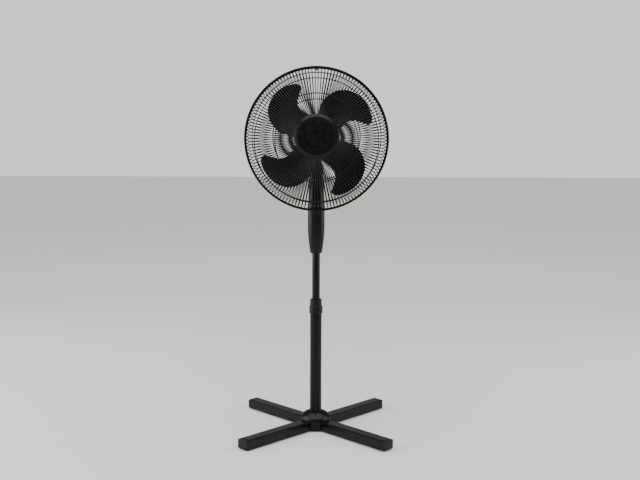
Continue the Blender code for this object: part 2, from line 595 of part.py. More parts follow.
def make_guard_half(name, side, hole):
    """Sheet of bars and rings on a polar grid, thickened to wire size."""
    bm = bmesh.new()
    half_bar = 0.0019
    stations = guard_stations(side, hole)
    loops = []
    for radius, depth, _ in stations:
        loop = []
        for bar in range(GUARD_BARS):
            middle = 2 * math.pi * (bar + 0.5) / GUARD_BARS
            half_angle = half_bar / radius
            # the two edges of a bar, and a point halfway to the next bar to keep the rings round
            for angle in (middle - half_angle, middle + half_angle, middle + math.pi / GUARD_BARS):
                loop.append(bm.verts.new((radius * math.cos(angle), depth, radius * math.sin(angle))))
        loops.append(loop)
    count = 3 * GUARD_BARS
    for (inner, outer), (_, _, closed) in zip(zip(loops, loops[1:]), stations):
        for i in range(0, count, 1 if closed else 3):
            j = (i + 1) % count
            bm.faces.new((inner[i], inner[j], outer[j], outer[i]))
    bmesh.ops.delete(bm, geom=[v for v in bm.verts if not v.link_faces], context="VERTS")
    guard = add_object(name, bm, "paint", head, smooth=0)
    thick = guard.modifiers.new("Wire thickness", "SOLIDIFY")
    thick.thickness = 0.0022
    thick.offset = 0.0


def make_guard():
    make_guard_half("rear_grille", 1, 0.0233)
    make_guard_half("front_grille", -1, 0.0400)

    depth, wall, lip = 0.0070, 0.0014, 0.2096
    profile = [(RIM_R, RIM_AT - depth + 0.001), (RIM_R, RIM_AT + depth - 0.001), (RIM_R - 0.001, RIM_AT + depth),
               (lip, RIM_AT + depth), (lip, RIM_AT + depth - wall), (RIM_R - wall, RIM_AT + depth - wall),
               (RIM_R - wall, RIM_AT - depth + wall), (lip, RIM_AT - depth + wall), (lip, RIM_AT - depth),
               (RIM_R - 0.001, RIM_AT - depth)]
    add_object("guard_ring", turned(profile, 40, "Y"), "satin", head)

    clip_low, clip_high = lip - 0.0050, lip - 2 * GAP
    add_object("top_clip", box_bm((-0.0030, RIM_AT - depth, clip_low), (0.0030, RIM_AT + depth, clip_high), 0.0006),
               "satin", head, smooth=0)
    add_object("bottom_clip", box_bm((-0.0040, RIM_AT - depth, -clip_high), (0.0040, RIM_AT + depth, -clip_low),
                                     0.0006), "satin", head, smooth=0)

    lobes = 9
    angles = [2 * math.pi * i / 36 for i in range(36)]
    outer = [0.0362 + 0.0014 * math.cos(lobes * a) for a in angles]
    low, high = -0.0850, -0.0730
    rims = [[(r * math.cos(a), y, r * math.sin(a)) for r, a in zip(outer, angles)] for y in (low, high)]
    bores = [[(0.0224 * math.cos(a), y, 0.0224 * math.sin(a)) for a in angles] for y in (low, high)]
    add_object("grille_nut", hollow_loft_bm(rims, bores), "satin", head)

    back = RIM_AT - 0.0627 - 0.0011 - GAP
    profile = [(0, CAP_FACE_AT - 0.0006), (0.030, CAP_FACE_AT - 0.0004), (CAP_FACE_R, CAP_FACE_AT),
               (CAP_R - 0.001, CAP_FACE_AT + 0.0040), (CAP_R, back), (0.0392, back), (0.0392, back + 0.0050),
               (0.0370, back + 0.0050), (0.0370, back - 0.0012), (0, back - 0.0012)]
    add_object("front_cap", turned(profile, 28, "Y"), "satin", head)


# ---------------------------------------------------------------- blades
def make_propeller():
    """Four swept blades on one hub.  Angles run anticlockwise seen from the front."""
    # radius, angle of the hooked leading edge and angle of the rounded trailing edge
    outline = np.array([(0.0288, -8, 72), (0.0600, 2.5, 71), (0.0937, 12, 67), (0.1133, 13, 65),
                        (0.1345, 9.5, 59.5), (0.1511, 4.5, 53.5), (0.1662, 0, 47), (0.1760, 1, 41),
                        (0.1845, 5.5, 33), (0.1885, 14, 23)])
    first_blade = 16
    rows, columns = len(outline), 5
    radii = outline[:, 0:1]
    across = np.linspace(0, 1, columns)[None, :]
    angles = np.radians(outline[:, 1:2] * (1 - across) + outline[:, 2:3] * across)
    growth = (radii - radii[0]) / (radii[-1] - radii[0])
    pitch = 0.033 + 0.015 * growth                       # metres forward for each radian
    centre = np.radians(35 - 11 * growth ** 3)
    camber = 0.006 * 4 * across * (1 - across) * (1 - growth ** 4)
    depth = BLADE_MID - pitch * (angles - centre) + camber
    half = BLADE_THICK / 2 * (1 - 0.35 * growth) * np.ones_like(angles)

    def blade_bm(turn):
        bm = bmesh.new()
        faces = []
        for side in (-1, 1):
            x = radii * np.cos(angles + turn)
            z = radii * np.sin(angles + turn)
            points = np.stack([x, depth + side * half, z], axis=-1)
            faces.append([[bm.verts.new(points[r, c]) for c in range(columns)] for r in range(rows)])
        front, rear = faces
        for r in range(rows - 1):
            for c in range(columns - 1):
                for grid in (front, rear):
                    bm.faces.new((grid[r][c], grid[r][c + 1], grid[r + 1][c + 1], grid[r + 1][c]))
        border = [(0, c) for c in range(columns)] + [(r, columns - 1) for r in range(1, rows)]
        border += [(rows - 1, c) for c in range(columns - 2, -1, -1)] + [(r, 0) for r in range(rows - 2, 0, -1)]
        for (a, b), (c, d) in zip(border, border[1:] + border[:1]):
            bm.faces.new((front[a][b], front[c][d], rear[c][d], rear[a][b]))
        bmesh.ops.recalc_face_normals(bm, faces=bm.faces[:])
        return bm

    low, high, wall = -0.147, -0.097, 0.0025
    hub, boss, bore = 0.030, 0.009, SHAFT_R + GAP
    profile = [(bore, high - 0.004), (boss, high - 0.004), (boss, low + wall), (hub - wall, low + wall),
               (hub - wall, high), (hub, high), (hub, low + 0.002), (hub - 0.002, low), (bore, low)]
    propeller = add_object("propeller", turned(profile, 24, "Y"), "blade", spin)
    blades = [blade_bm(math.radians(first_blade + 90 * number)) for number in range(4)]
    tool_for(propeller, merge_bm(*blades), "UNION")
    profile = [(0.0033, low - GAP), (0.0155, low - GAP), (0.0155, low - 0.0060), (0.0140, low - 0.0110),
               (0.0095, low - 0.0150), (0.0033, low - 0.0162)]
    add_object("blade_nut", turned(profile, 16, "Y"), "satin", spin)


make_base()
make_pole()
make_neck()
make_bracket()
make_gearbox()
make_motor()
make_guard()
make_propeller()
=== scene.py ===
import json
import math

import bmesh
import bpy
import numpy as np
from mathutils import Matrix, Vector


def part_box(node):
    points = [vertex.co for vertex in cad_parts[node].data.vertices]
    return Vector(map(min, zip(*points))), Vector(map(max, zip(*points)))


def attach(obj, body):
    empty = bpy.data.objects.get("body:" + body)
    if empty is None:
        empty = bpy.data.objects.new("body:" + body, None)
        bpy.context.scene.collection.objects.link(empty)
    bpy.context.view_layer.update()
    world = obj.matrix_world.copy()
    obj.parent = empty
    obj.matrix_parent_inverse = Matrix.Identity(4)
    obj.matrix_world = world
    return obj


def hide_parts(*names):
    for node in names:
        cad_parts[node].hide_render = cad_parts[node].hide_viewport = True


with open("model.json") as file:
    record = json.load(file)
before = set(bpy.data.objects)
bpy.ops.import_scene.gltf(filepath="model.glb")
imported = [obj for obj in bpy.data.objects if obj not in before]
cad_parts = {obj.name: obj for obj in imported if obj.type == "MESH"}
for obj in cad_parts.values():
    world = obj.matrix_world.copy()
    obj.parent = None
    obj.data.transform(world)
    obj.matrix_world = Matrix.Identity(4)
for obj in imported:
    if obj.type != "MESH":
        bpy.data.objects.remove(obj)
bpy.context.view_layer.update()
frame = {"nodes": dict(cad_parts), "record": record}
record = frame["record"]
bodyOf = {node: body for body, nodes in record["behaviour"]["bodies"].items() for node in nodes}
jointOf = {joint["name"]: joint for joint in record["behaviour"]["joints"]}
print("frame loaded:", len(bodyOf), "nodes")

# the head's own frame: x to the right, y back along the motor shaft, z along the swing axis
headOrigin = np.array(jointOf["oscillation"]["pos_m"])
headUp = np.array(jointOf["oscillation"]["axis"]) / np.linalg.norm(jointOf["oscillation"]["axis"])
headBack = np.cross(headUp, (1.0, 0.0, 0.0))
headTurn = np.stack([(1.0, 0.0, 0.0), headBack, headUp])


# ---- camera, floor and lights
studio = {
    "lens": 47.81, "sensor": 36.0,
    "cameraAt": (0.0, -2.6869, 0.8847), "cameraDown": 5.796, "cameraRoll": 0.2, "shift": 0.0060,
    "floorSize": 60.0, "floorColour": "#d2cfca", "skyColour": "#dedcd8", "skyLight": 0.08, "skyShown": 1.45,
    # even light from above: strength, how wide it is and how far it leans forwards, in degrees
    "ceiling": 3.9, "ceilingSpread": 75.0, "ceilingLean": 12.0,
    # name: (place, target, width, height, watts)
    "lamps": {
        "leftStrip": ((-2.8, -0.7, 1.4), (0.0, -0.7, 1.0), 3.4, 2.2, 110.0),
        "rightStrip": ((2.8, -0.3, 1.4), (0.0, -0.3, 1.0), 2.5, 2.2, 58.0),
        "backWall": ((0.0, 5.0, 1.7), (0.0, 0.0, 0.9), 7.0, 1.2, 12.0),
        "frontTop": ((0.0, -2.6, 3.2), (0.0, 0.0, 0.9), 2.4, 1.2, 22.0),
    },
}


def toLinear(hexColour):
    """sRGB hex to the linear values that a shader wants."""
    values = np.array([int(hexColour[i:i + 2], 16) for i in (1, 3, 5)]) / 255
    return tuple(np.where(values <= 0.04045, values / 12.92, ((values + 0.055) / 1.055) ** 2.4)) + (1.0,)


def addNode(tree, kind, settings=None, links=None):
    """Adds a node; settings go to its sockets or properties, links join other sockets to its inputs."""
    node = tree.nodes.new(kind)
    for key, value in (settings or {}).items():
        if key in node.inputs:
            node.inputs[key].default_value = value
        else:
            setattr(node, key, value)
    for key, source in (links or {}).items():
        tree.links.new(source, node.inputs[key])
    return node


def newObject(name, data):
    made = bpy.data.objects.new(name, data)
    bpy.context.collection.objects.link(made)
    return made


def newSurface(name):
    """Material, node tree, surface shader and object coordinates."""
    mat = bpy.data.materials.new(name)
    mat.use_nodes = True
    tree = mat.node_tree
    return mat, tree, tree.nodes["Principled BSDF"], addNode(tree, "ShaderNodeTexCoord").outputs["Object"]


def makeCamera():
    data = bpy.data.cameras.new("camera")
    data.lens, data.sensor_width, data.shift_x = studio["lens"], studio["sensor"], studio["shift"]
    camera = newObject("camera", data)
    camera.location = studio["cameraAt"]
    pitch, roll = math.radians(90 - studio["cameraDown"]), math.radians(studio["cameraRoll"])
    camera.rotation_euler = (Matrix.Rotation(pitch, 3, "X") @ Matrix.Rotation(roll, 3, "Z")).to_euler()
    bpy.context.scene.camera = camera


def makeStudio():
    mesh = bpy.data.meshes.new("floor")
    half = studio["floorSize"] / 2
    mesh.from_pydata([(-half, -half, 0), (half, -half, 0), (half, half, 0), (-half, half, 0)], [],
                     [(0, 1, 2, 3)])
    floor = newObject("floor", mesh)
    mat, tree, shader, place = newSurface("sealedConcrete")  # pale, nearly matt, with faint clouds
    shader.inputs["Base Color"].default_value = toLinear(studio["floorColour"])
    shader.inputs["Specular IOR Level"].default_value = 0.06
    clouds = addNode(tree, "ShaderNodeTexNoise", {"Scale": 2.2, "Detail": 3.0}, {"Vector": place})
    rough = addNode(tree, "ShaderNodeMapRange", {"To Min": 0.4, "To Max": 0.55},
                    {"Value": clouds.outputs["Fac"]})
    tree.links.new(rough.outputs["Result"], shader.inputs["Roughness"])
    mesh.materials.append(mat)

    world = bpy.data.worlds.new("paleStudio")
    bpy.context.scene.world = world
    world.use_nodes = True
    tree = world.node_tree
    tree.nodes.clear()
    sky = toLinear(studio["skyColour"])
    shown = addNode(tree, "ShaderNodeBackground", {"Color": sky, "Strength": studio["skyShown"]})
    lit = addNode(tree, "ShaderNodeBackground", {"Color": sky, "Strength": studio["skyLight"]})
    rays = addNode(tree, "ShaderNodeLightPath")
    both = addNode(tree, "ShaderNodeMixShader", None,
                   {0: rays.outputs["Is Camera Ray"], 1: lit.outputs[0], 2: shown.outputs[0]})
    addNode(tree, "ShaderNodeOutputWorld", None, {"Surface": both.outputs[0]})

    data = bpy.data.lights.new("ceiling", "SUN")
    data.energy, data.angle = studio["ceiling"], math.radians(studio["ceilingSpread"])
    lamp = newObject("ceiling", data)
    lamp.rotation_euler = (math.radians(studio["ceilingLean"]), 0, 0)
    for name, (place, target, width, height, watts) in studio["lamps"].items():
        data = bpy.data.lights.new(name, "AREA")
        data.shape, data.size, data.size_y, data.energy = "RECTANGLE", width, height, watts
        lamp = newObject(name, data)
        lamp.location = place
        lamp.visible_camera = False
        lamp.rotation_euler = (Vector(target) - Vector(place)).to_track_quat("-Z", "Y").to_euler()


makeCamera()
makeStudio()
print("camera, floor and lights placed")


# ---- materials
# Each finish: colour, the colour it wanders to, roughness and its spread, metal or an IOR, then in mm
# the size of the clouds and the size and depth of the grain. Shine is the level of the reflection
# where it is below the usual half. Stripes have a spacing and a depth in mm.
finishes = {
    # ABS, injection moulded in a spark-eroded mould: a deep satin black with a fine leathery grain
    "mouldedAbs": dict(colour="#060607", stray="#0a0a0b", rough=0.34, spread=0.07, ior=1.53,
                       cloud=14.0, grain=1.3, depth=0.02, shine=0.2),
    # ABS from a polished mould: smooth, with a clear soft reflection
    "polishedAbs": dict(colour="#050506", stray="#08080a", rough=0.25, spread=0.05, ior=1.53,
                        cloud=20.0, grain=2.5, depth=0.006, shine=0.26),
    # stoved black enamel on drawn steel tube: satin gloss with a trace of orange peel
    "stovedEnamel": dict(colour="#050506", stray="#08080a", rough=0.24, spread=0.03, ior=1.5,
                         cloud=30.0, grain=4.0, depth=0.003, shine=0.2),
    # epoxy powder baked on welded steel wire: a thick smooth black skin
    "powderedWire": dict(colour="#030303", stray="#060606", rough=0.36, spread=0.06, ior=1.5,
                         cloud=10.0, grain=1.0, depth=0.01, shine=0.18),
    # polypropylene, moulded: waxy black with flow marks
    "mouldedPolypropylene": dict(colour="#050505", stray="#080809", rough=0.44, spread=0.09,
                                 ior=1.49, cloud=26.0, grain=2.0, depth=0.015, shine=0.14),
    # nitrile rubber, pressed: dull and dusty
    "pressedRubber": dict(colour="#0c0c0c", stray="#1a1a19", rough=0.8, spread=0.1, ior=1.52,
                          cloud=5.0, grain=0.8, depth=0.04),
    # zinc-plated steel: bright grey with a patchy bluish film
    "zincPlate": dict(colour="#b9bcc2", stray="#a3a9b4", rough=0.3, spread=0.1, metal=1.0,
                      cloud=6.0, grain=0.6, depth=0.02),
    # stamped silicon steel, sheets stacked: dark grey with fine lines at the sheet edges
    "stackedLaminations": dict(colour="#7c7f84", stray="#62656a", rough=0.45, spread=0.1, metal=1.0,
                               cloud=8.0, grain=0.5, depth=0.02, stripes=(1.0, 0.1)),
    # zinc alloy, die-cast, left as cast: chalky grey skin
    "dieCastZinc": dict(colour="#8d8f92", stray="#76797d", rough=0.5, spread=0.12, metal=1.0,
                        cloud=9.0, grain=1.2, depth=0.05),
    # die-cast zinc painted satin black
    "paintedCasting": dict(colour="#070708", stray="#0b0b0c", rough=0.4, spread=0.08, ior=1.5,
                           cloud=9.0, grain=1.2, depth=0.04),
    # copper wire in clear enamel, wound in layers: orange lines side by side
    "enamelledCopper": dict(colour="#b5652f", stray="#8c4520", rough=0.32, spread=0.08, metal=1.0,
                            cloud=7.0, grain=0.5, depth=0.02, stripes=(0.9, 0.15)),
    # bronze, sintered and oiled: brown-gold and slightly open
    "sinteredBronze": dict(colour="#9a7440", stray="#7f5d31", rough=0.48, spread=0.1, metal=1.0,
                           cloud=4.0, grain=0.4, depth=0.03),
    # nylon 6, moulded, undyed: milky off-white
    "naturalNylon": dict(colour="#dedbcf", stray="#cfcbbb", rough=0.48, spread=0.07, ior=1.53,
                         cloud=8.0, grain=1.0, depth=0.015),
    # phenolic, pressed: dark grey with a dull shine
    "pressedPhenolic": dict(colour="#2a2a2d", stray="#222225", rough=0.46, spread=0.08,
                            ior=1.6, cloud=6.0, grain=0.8, depth=0.03),
}


waveScale = 1000 / (20 / math.tau) / 3.2  # wave texture scale for bands about 1 mm apart


def makeFinish(name):
    """Principled surface: noise moves the colour and roughness, finer noise lifts the grain."""
    look = finishes[name]
    mat, tree, shader, place = newSurface(name)
    shader.inputs["Metallic"].default_value = look.get("metal", 0.0)
    if "ior" in look:
        shader.inputs["IOR"].default_value = look["ior"]
        shader.inputs["Specular IOR Level"].default_value = look.get("shine", 0.5)
    clouds = addNode(tree, "ShaderNodeTexNoise", {"Scale": 1000 / look["cloud"], "Detail": 4.0},
                     {"Vector": place})
    colour = addNode(tree, "ShaderNodeMix", {"data_type": "RGBA"}, {0: clouds.outputs["Fac"]})
    colour.inputs[6].default_value = toLinear(look["colour"])
    colour.inputs[7].default_value = toLinear(look["stray"])
    tree.links.new(colour.outputs[2], shader.inputs["Base Color"])
    rough = addNode(tree, "ShaderNodeMapRange",
                    {"From Min": 0.3, "From Max": 0.7, "To Min": look["rough"] - look["spread"],
                     "To Max": look["rough"] + look["spread"]}, {"Value": clouds.outputs["Fac"]})
    tree.links.new(rough.outputs["Result"], shader.inputs["Roughness"])
    grain = addNode(tree, "ShaderNodeTexNoise", {"Scale": 1000 / look["grain"], "Detail": 2.0},
                    {"Vector": place})
    bump = addNode(tree, "ShaderNodeBump", {"Strength": 0.6, "Distance": look["depth"] / 1000},
                   {"Height": grain.outputs["Fac"]})
    if "stripes" in look:  # lines across the motor shaft
        spacing, lift = look["stripes"]
        turned = addNode(tree, "ShaderNodeMapping", {"Rotation": (math.asin(headUp[1]), 0, 0)},
                         {"Vector": place})
        lines = addNode(tree, "ShaderNodeTexWave", {"bands_direction": "Y", "Scale": waveScale / spacing},
                        {"Vector": turned.outputs["Vector"]})
        bump = addNode(tree, "ShaderNodeBump", {"Strength": 0.8, "Distance": lift / 1000},
                       {"Height": lines.outputs["Fac"], "Normal": bump.outputs["Normal"]})
    tree.links.new(bump.outputs["Normal"], shader.inputs["Normal"])
    return mat


materials = {name: makeFinish(name) for name in finishes}
print("materials made:", len(materials))


# ---- mesh tools
def gridFaces(rows, cols, wrapRows=False, wrapCols=False):
    """Quads of a grid of points, row by row, joined round on itself where asked."""
    r = np.arange(rows if wrapRows else rows - 1)[:, None]
    c = np.arange(cols if wrapCols else cols - 1)[None, :]
    rNext, cNext = (r + 1) % rows, (c + 1) % cols
    quads = np.stack(np.broadcast_arrays(r * cols + c, r * cols + cNext, rNext * cols + cNext,
                                         rNext * cols + c), axis=-1)
    return quads.reshape(-1, 4)


def joinMeshes(*parts):
    """Several (points, faces) pairs as one pair."""
    points, faces, start = [], [], 0
    for partPoints, partFaces in parts:
        partPoints = np.asarray(partPoints, float).reshape(-1, 3)
        points.append(partPoints)
        faces += [tuple(int(i) + start for i in face) for face in partFaces]
        start += len(partPoints)
    return np.concatenate(points), faces


def softCorners(corners, steps=4):
    """Outline through corners (a, b, radius); each corner is cut back and bridged by a parabola."""
    corners = np.array(corners, float)
    count = len(corners)
    out = []
    for i, (a, b, radius) in enumerate(corners):
        here = np.array((a, b))
        if radius <= 0:
            out.append(here)
            continue
        before, after = corners[i - 1, :2] - here, corners[(i + 1) % count, :2] - here
        back, ahead = np.linalg.norm(before), np.linalg.norm(after)
        cut = min(radius, 0.49 * back, 0.49 * ahead)
        t = np.linspace(0, 1, steps + 1)[:, None]
        start, end = here + cut * before / back, here + cut * after / ahead
        out.extend((1 - t) ** 2 * start + 2 * t * (1 - t) * here + t ** 2 * end)
    return np.array(out)


def smoothThrough(x, xs, ys):
    """Cubic Hermite curve through (xs, ys) with slopes taken from the neighbouring points."""
    xs, ys = np.asarray(xs, float), np.asarray(ys, float)
    slopes = np.gradient(ys, xs)
    k = np.clip(np.searchsorted(xs, x, side="right") - 1, 0, len(xs) - 2)
    step = xs[k + 1] - xs[k]
    t = (x - xs[k]) / step
    return ((2 * t ** 3 - 3 * t ** 2 + 1) * ys[k] + (t ** 3 - 2 * t ** 2 + t) * step * slopes[k]
            + (3 * t ** 2 - 2 * t ** 3) * ys[k + 1] + (t ** 3 - t ** 2) * step * slopes[k + 1])


def lathe(profile, segments, axis="z", centre=(0.0, 0.0), flute=(0, 0.0)):
    """Profile of (radius, height) turned about an axis, closed on itself unless it starts on the axis;
    flute = (count, share) ripples the radius."""
    profile = np.asarray(profile, float)[:, :2]
    angle = np.linspace(0, math.tau, segments, endpoint=False)
    count, share = flute
    ripple = 1 + share * np.cos(count * angle)
    r = profile[:, :1] * ripple[None, :]
    h = np.repeat(profile[:, 1:2], segments, axis=1)
    u, v = r * np.cos(angle), r * np.sin(angle)
    order = {"z": [0, 1, 2], "y": [0, 2, 1], "x": [2, 0, 1]}[axis]
    points = np.stack([centre[0] + u, centre[1] + v, h], axis=-1)[..., order]
    return points.reshape(-1, 3), gridFaces(len(profile), segments, profile[0, 0] > 0, True)


def loftPoints(sections):
    """Closed skin through equal rings of points, with a flat face at each end."""
    sections = np.asarray(sections, float)
    rows, cols = sections.shape[:2]
    faces = [tuple(face) for face in gridFaces(rows, cols, False, True)]
    faces.append(tuple(range(cols))[::-1])
    faces.append(tuple(range((rows - 1) * cols, rows * cols)))
    return sections.reshape(-1, 3), faces


def roundedBox(low, high, radius, steps=5):
    """Cube grid pulled in to a box with round edges: the nearest inner point plus the radius."""
    low, high = np.array(low, float), np.array(high, float)
    line = np.linspace(-1, 1, 2 * steps + 1)
    a, b = np.meshgrid(line, line, indexing="ij")
    sides = []
    for axis in range(3):
        for sign in (-1, 1):
            side = np.empty(a.shape + (3,))
            side[..., axis], side[..., (axis + 1) % 3], side[..., (axis + 2) % 3] = sign, a, b
            # points crowd towards the edges, where the rounding is
            place = (low + high) / 2 + np.sign(side) * np.abs(side) ** 0.35 * (high - low) / 2
            core = np.clip(place, low + radius, high - radius)
            out = place - core
            length = np.linalg.norm(out, axis=-1, keepdims=True)
            sides.append((core + radius * out / np.maximum(length, 1e-9),
                          gridFaces(len(line), len(line))))
    return joinMeshes(*sides)


wireSides = 6


def wireFan(path, radius, count):
    """Round wire along a path in the (radius, depth) plane, repeated evenly round the shaft line."""
    along = np.gradient(path, axis=0)
    along /= np.linalg.norm(along, axis=1, keepdims=True)
    turn = np.linspace(0, math.tau, wireSides, endpoint=False)
    normal = np.stack([-along[:, 1], along[:, 0]], axis=1)
    flat = path[:, None, :] + radius * np.cos(turn)[None, :, None] * normal[:, None, :]
    out, depth = flat[..., 0], flat[..., 1]
    across = np.broadcast_to(radius * np.sin(turn), out.shape)
    rows = len(path)
    angle = (np.arange(count) + 0.5)[:, None, None] / count * math.tau
    points = np.stack([out * np.cos(angle) - across * np.sin(angle),
                       np.broadcast_to(depth, (count,) + depth.shape),
                       out * np.sin(angle) + across * np.cos(angle)], axis=-1)
    one = gridFaces(rows, wireSides, False, True)
    ends = np.array([(0, 1, 2, 3), (0, 3, 4, 5)])
    one = np.concatenate([one, ends[:, ::-1], ends + (rows - 1) * wireSides])
    faces = (one[None] + (np.arange(count) * rows * wireSides)[:, None, None]).reshape(-1, 4)
    return points.reshape(-1, 3), faces


def ringWire(radius, depth, thick):
    """Wire hoop round the shaft line."""
    turn = np.linspace(0, math.tau, 8, endpoint=False)
    return lathe(np.stack([radius + thick * np.cos(turn), depth + thick * np.sin(turn)], axis=1), 240, "y")


def onHead(shape):
    """Points given in the head's frame, taken to the world."""
    points, faces = shape
    return np.asarray(points) @ headTurn + headOrigin, faces


def rawObject(name, shape):
    """Mesh object with doubled points merged and faces turned outwards."""
    points, faces = shape
    mesh = bpy.data.meshes.new(name)
    mesh.from_pydata(np.asarray(points, float).tolist(), [], [list(map(int, face)) for face in faces])
    bm = bmesh.new()
    bm.from_mesh(mesh)
    bmesh.ops.remove_doubles(bm, verts=bm.verts[:], dist=2e-6)
    bmesh.ops.recalc_face_normals(bm, faces=bm.faces[:])
    bm.to_mesh(mesh)
    bm.free()
    return newObject(name, mesh)


def carve(piece, shapes, how="DIFFERENCE"):
    """Cuts closed shapes from a piece one after another, and keeps the result as its mesh."""
    tools = [rawObject(f"{piece.name}Tool{i}", shape) for i, shape in enumerate(shapes)]
    for tool in tools:
        step = piece.modifiers.new("Carve", "BOOLEAN")
        step.operation, step.solver, step.object = how, "EXACT", tool
    done = bpy.data.meshes.new_from_object(piece.evaluated_get(bpy.context.evaluated_depsgraph_get()))
    piece.modifiers.clear()
    piece.data = done
    for tool in tools:
        bpy.data.objects.remove(tool)


def standIn(piece, node, finish, sharp=32):
    """Finishes a piece that takes the place of a CAD node: it moves with the node's body."""
    piece.data.shade_smooth()
    piece.data.set_sharp_from_angle(angle=math.radians(sharp))
    piece.data.materials.clear()
    piece.data.materials.append(materials[finish])
    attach(piece, bodyOf[node])
    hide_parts(node)


def makePiece(name, node, shape, finish, sharp=32, cuts=()):
    piece = rawObject(name, shape)
    if cuts:
        carve(piece, cuts)
    standIn(piece, node, finish, sharp)


def rod(radius, low, high, segments=32, axis="z", centre=(0.0, 0.0)):
    return lathe([(0, low), (radius, low), (radius, high), (0, high)], segments, axis, centre)


clear = 0.03  # how far a cutting shape reaches from the line through the pole


# ---- base: crossed legs, end caps, feet and the hub cover
legs = {
    "reach": 0.3095, "halfWidth": 0.021, "low": 0.004, "high": 0.0322, "wall": 0.0015,
    "slopeOut": 0.0050, "slopeDown": 0.0013,  # the flat bevel along each top edge
    "edge": 0.0008,  # rounding of the rolled edges
    "capLength": 0.0117, "capNose": 0.0010, "plugLength": 0.030, "gap": 0.0003,
    "footAt": 0.283, "footRadius": 0.011, "footGroove": (0.0062, 0.0070, 0.0006),
    "cutRange": (-0.01, 0.05),  # a notch runs out past the tube at these heights
}
legTurns = {"rear_right": 45, "rear_left": 135, "front_left": 225, "front_right": 315}


def legSection(inset):
    """Outline across a leg, shrunk by inset: a box with two bevelled top edges."""
    half, low, high = legs["halfWidth"] - inset, legs["low"] + inset, legs["high"] - inset
    out, down, edge = legs["slopeOut"] - 0.4 * inset, legs["slopeDown"] - 0.4 * inset, legs["edge"]
    corners = [(-half, low, edge), (half, low, edge), (half, high - down, edge), (half - out, high, edge),
               (-half + out, high, edge), (-half, high - down, edge)]
    return softCorners(corners, steps=3)


def legRing(inset, along):
    outline = legSection(inset)
    return np.stack([np.full(len(outline), along), outline[:, 0], outline[:, 1]], axis=1)


def aroundPole(shape, degrees):
    points, faces = shape
    c, s = math.cos(math.radians(degrees)), math.sin(math.radians(degrees))
    return np.asarray(points) @ np.array([[c, s, 0], [-s, c, 0], [0, 0, 1]]), faces


def boxShape(low, high):
    (x, y, z), (u, v, w) = low, high
    return loftPoints([[(x, y, h), (u, y, h), (u, v, h), (x, v, h)] for h in (z, w)])


def makeLegs():
    end = legs["reach"] - legs["capLength"] - legs["gap"]
    rings = np.array([legRing(inset, along) for inset, along in (
        (0, -end), (0, end), (legs["wall"], end), (legs["wall"], -end))])
    tube = rings.reshape(-1, 3), gridFaces(4, rings.shape[1], True, True)
    middle = (legs["low"] + legs["high"]) / 2
    notch = legs["halfWidth"] + legs["gap"]
    below, above = legs["cutRange"]
    for label, turn, low, high in (("lower", 45, middle - legs["gap"] / 2, above),
                                   ("upper", -45, below, middle + legs["gap"] / 2)):
        cut = boxShape((-notch, -clear, low), (notch, clear, high))
        makePiece(label + "LegTube", label + "_rail", aroundPole(tube, turn), "stovedEnamel", 20,
                  [aroundPole(cut, turn)])


def makeLegEnds():
    """Plug, a face that meets the tube, and a nose rounded over by quarter-circle steps."""
    show, reach, nose = legs["reach"] - legs["capLength"], legs["reach"], legs["capNose"]
    plug = legs["wall"] + legs["gap"]
    turn = np.radians(np.linspace(0, 90, 6))
    steps = [(plug, show - legs["plugLength"]), (plug, show), (0.0004, show), (0, show + 0.0004)]
    steps += [(nose * (1 - math.cos(a)), reach - nose + nose * math.sin(a)) for a in turn]
    cap = loftPoints([legRing(inset, along) for inset, along in steps])
    pad, top = legs["footRadius"], legs["low"] - legs["gap"]
    profile = softCorners([(0, 0, 0), (pad - 0.0006, 0, 0.0008), (pad, 0.0022, 0.0006),
                           (pad - 0.0010, top, 0.0003), (0, top, 0)])
    near, far, deep = legs["footGroove"]
    ring = [(near, -0.0002), (far, -0.0002), (far, deep), (near, deep)]
    foot = lathe(profile, 48, centre=(legs["footAt"], 0))
    groove = lathe(ring, 48, centre=(legs["footAt"], 0))
    for label, degrees in legTurns.items():
        tag = label.title().replace("_", "")
        makePiece("legCap" + tag, "end_cap_" + label, aroundPole(cap, degrees), "mouldedAbs", 25)
        makePiece("legFoot" + tag, "foot_" + label, aroundPole(foot, degrees), "pressedRubber", 32,
                  [aroundPole(groove, degrees)])


hub = {
    "radius": 0.0485, "rise": 0.0294, "wall": 0.0022, "skirt": 0.0035, "throat": 0.0192,
    "slot": 0.0216, "slotReach": 0.07,
}


def makeHubCover():
    """Half-ellipse dome on a straight skirt, as a shell, with a slot for each leg."""
    def dome(inset):
        radius, rise = hub["radius"] - inset, hub["rise"] - inset
        turn = np.linspace(0, math.acos(hub["throat"] / radius), 22)
        return np.stack([radius * np.cos(turn), legs["high"] + rise * np.sin(turn)], axis=1)

    outer, inner = dome(0), dome(hub["wall"])
    lip = np.array([(hub["radius"] - 0.0006, hub["skirt"]), (hub["radius"], hub["skirt"] + 0.0006)])
    inside = np.array([(hub["radius"] - hub["wall"], hub["skirt"])])
    shell = lathe(np.concatenate([lip, outer, inner[::-1], inside]), 144)
    slot = boxShape((-hub["slotReach"], -hub["slot"], legs["cutRange"][0]),
                    (hub["slotReach"], hub["slot"], legs["high"] + legs["gap"]))
    makePiece("hubDome", "hub_cover", shell, "mouldedAbs", 30,
              [aroundPole(slot, turn) for turn in (45, -45)])


makeLegs()
makeLegEnds()
makeHubCover()
print("base made")


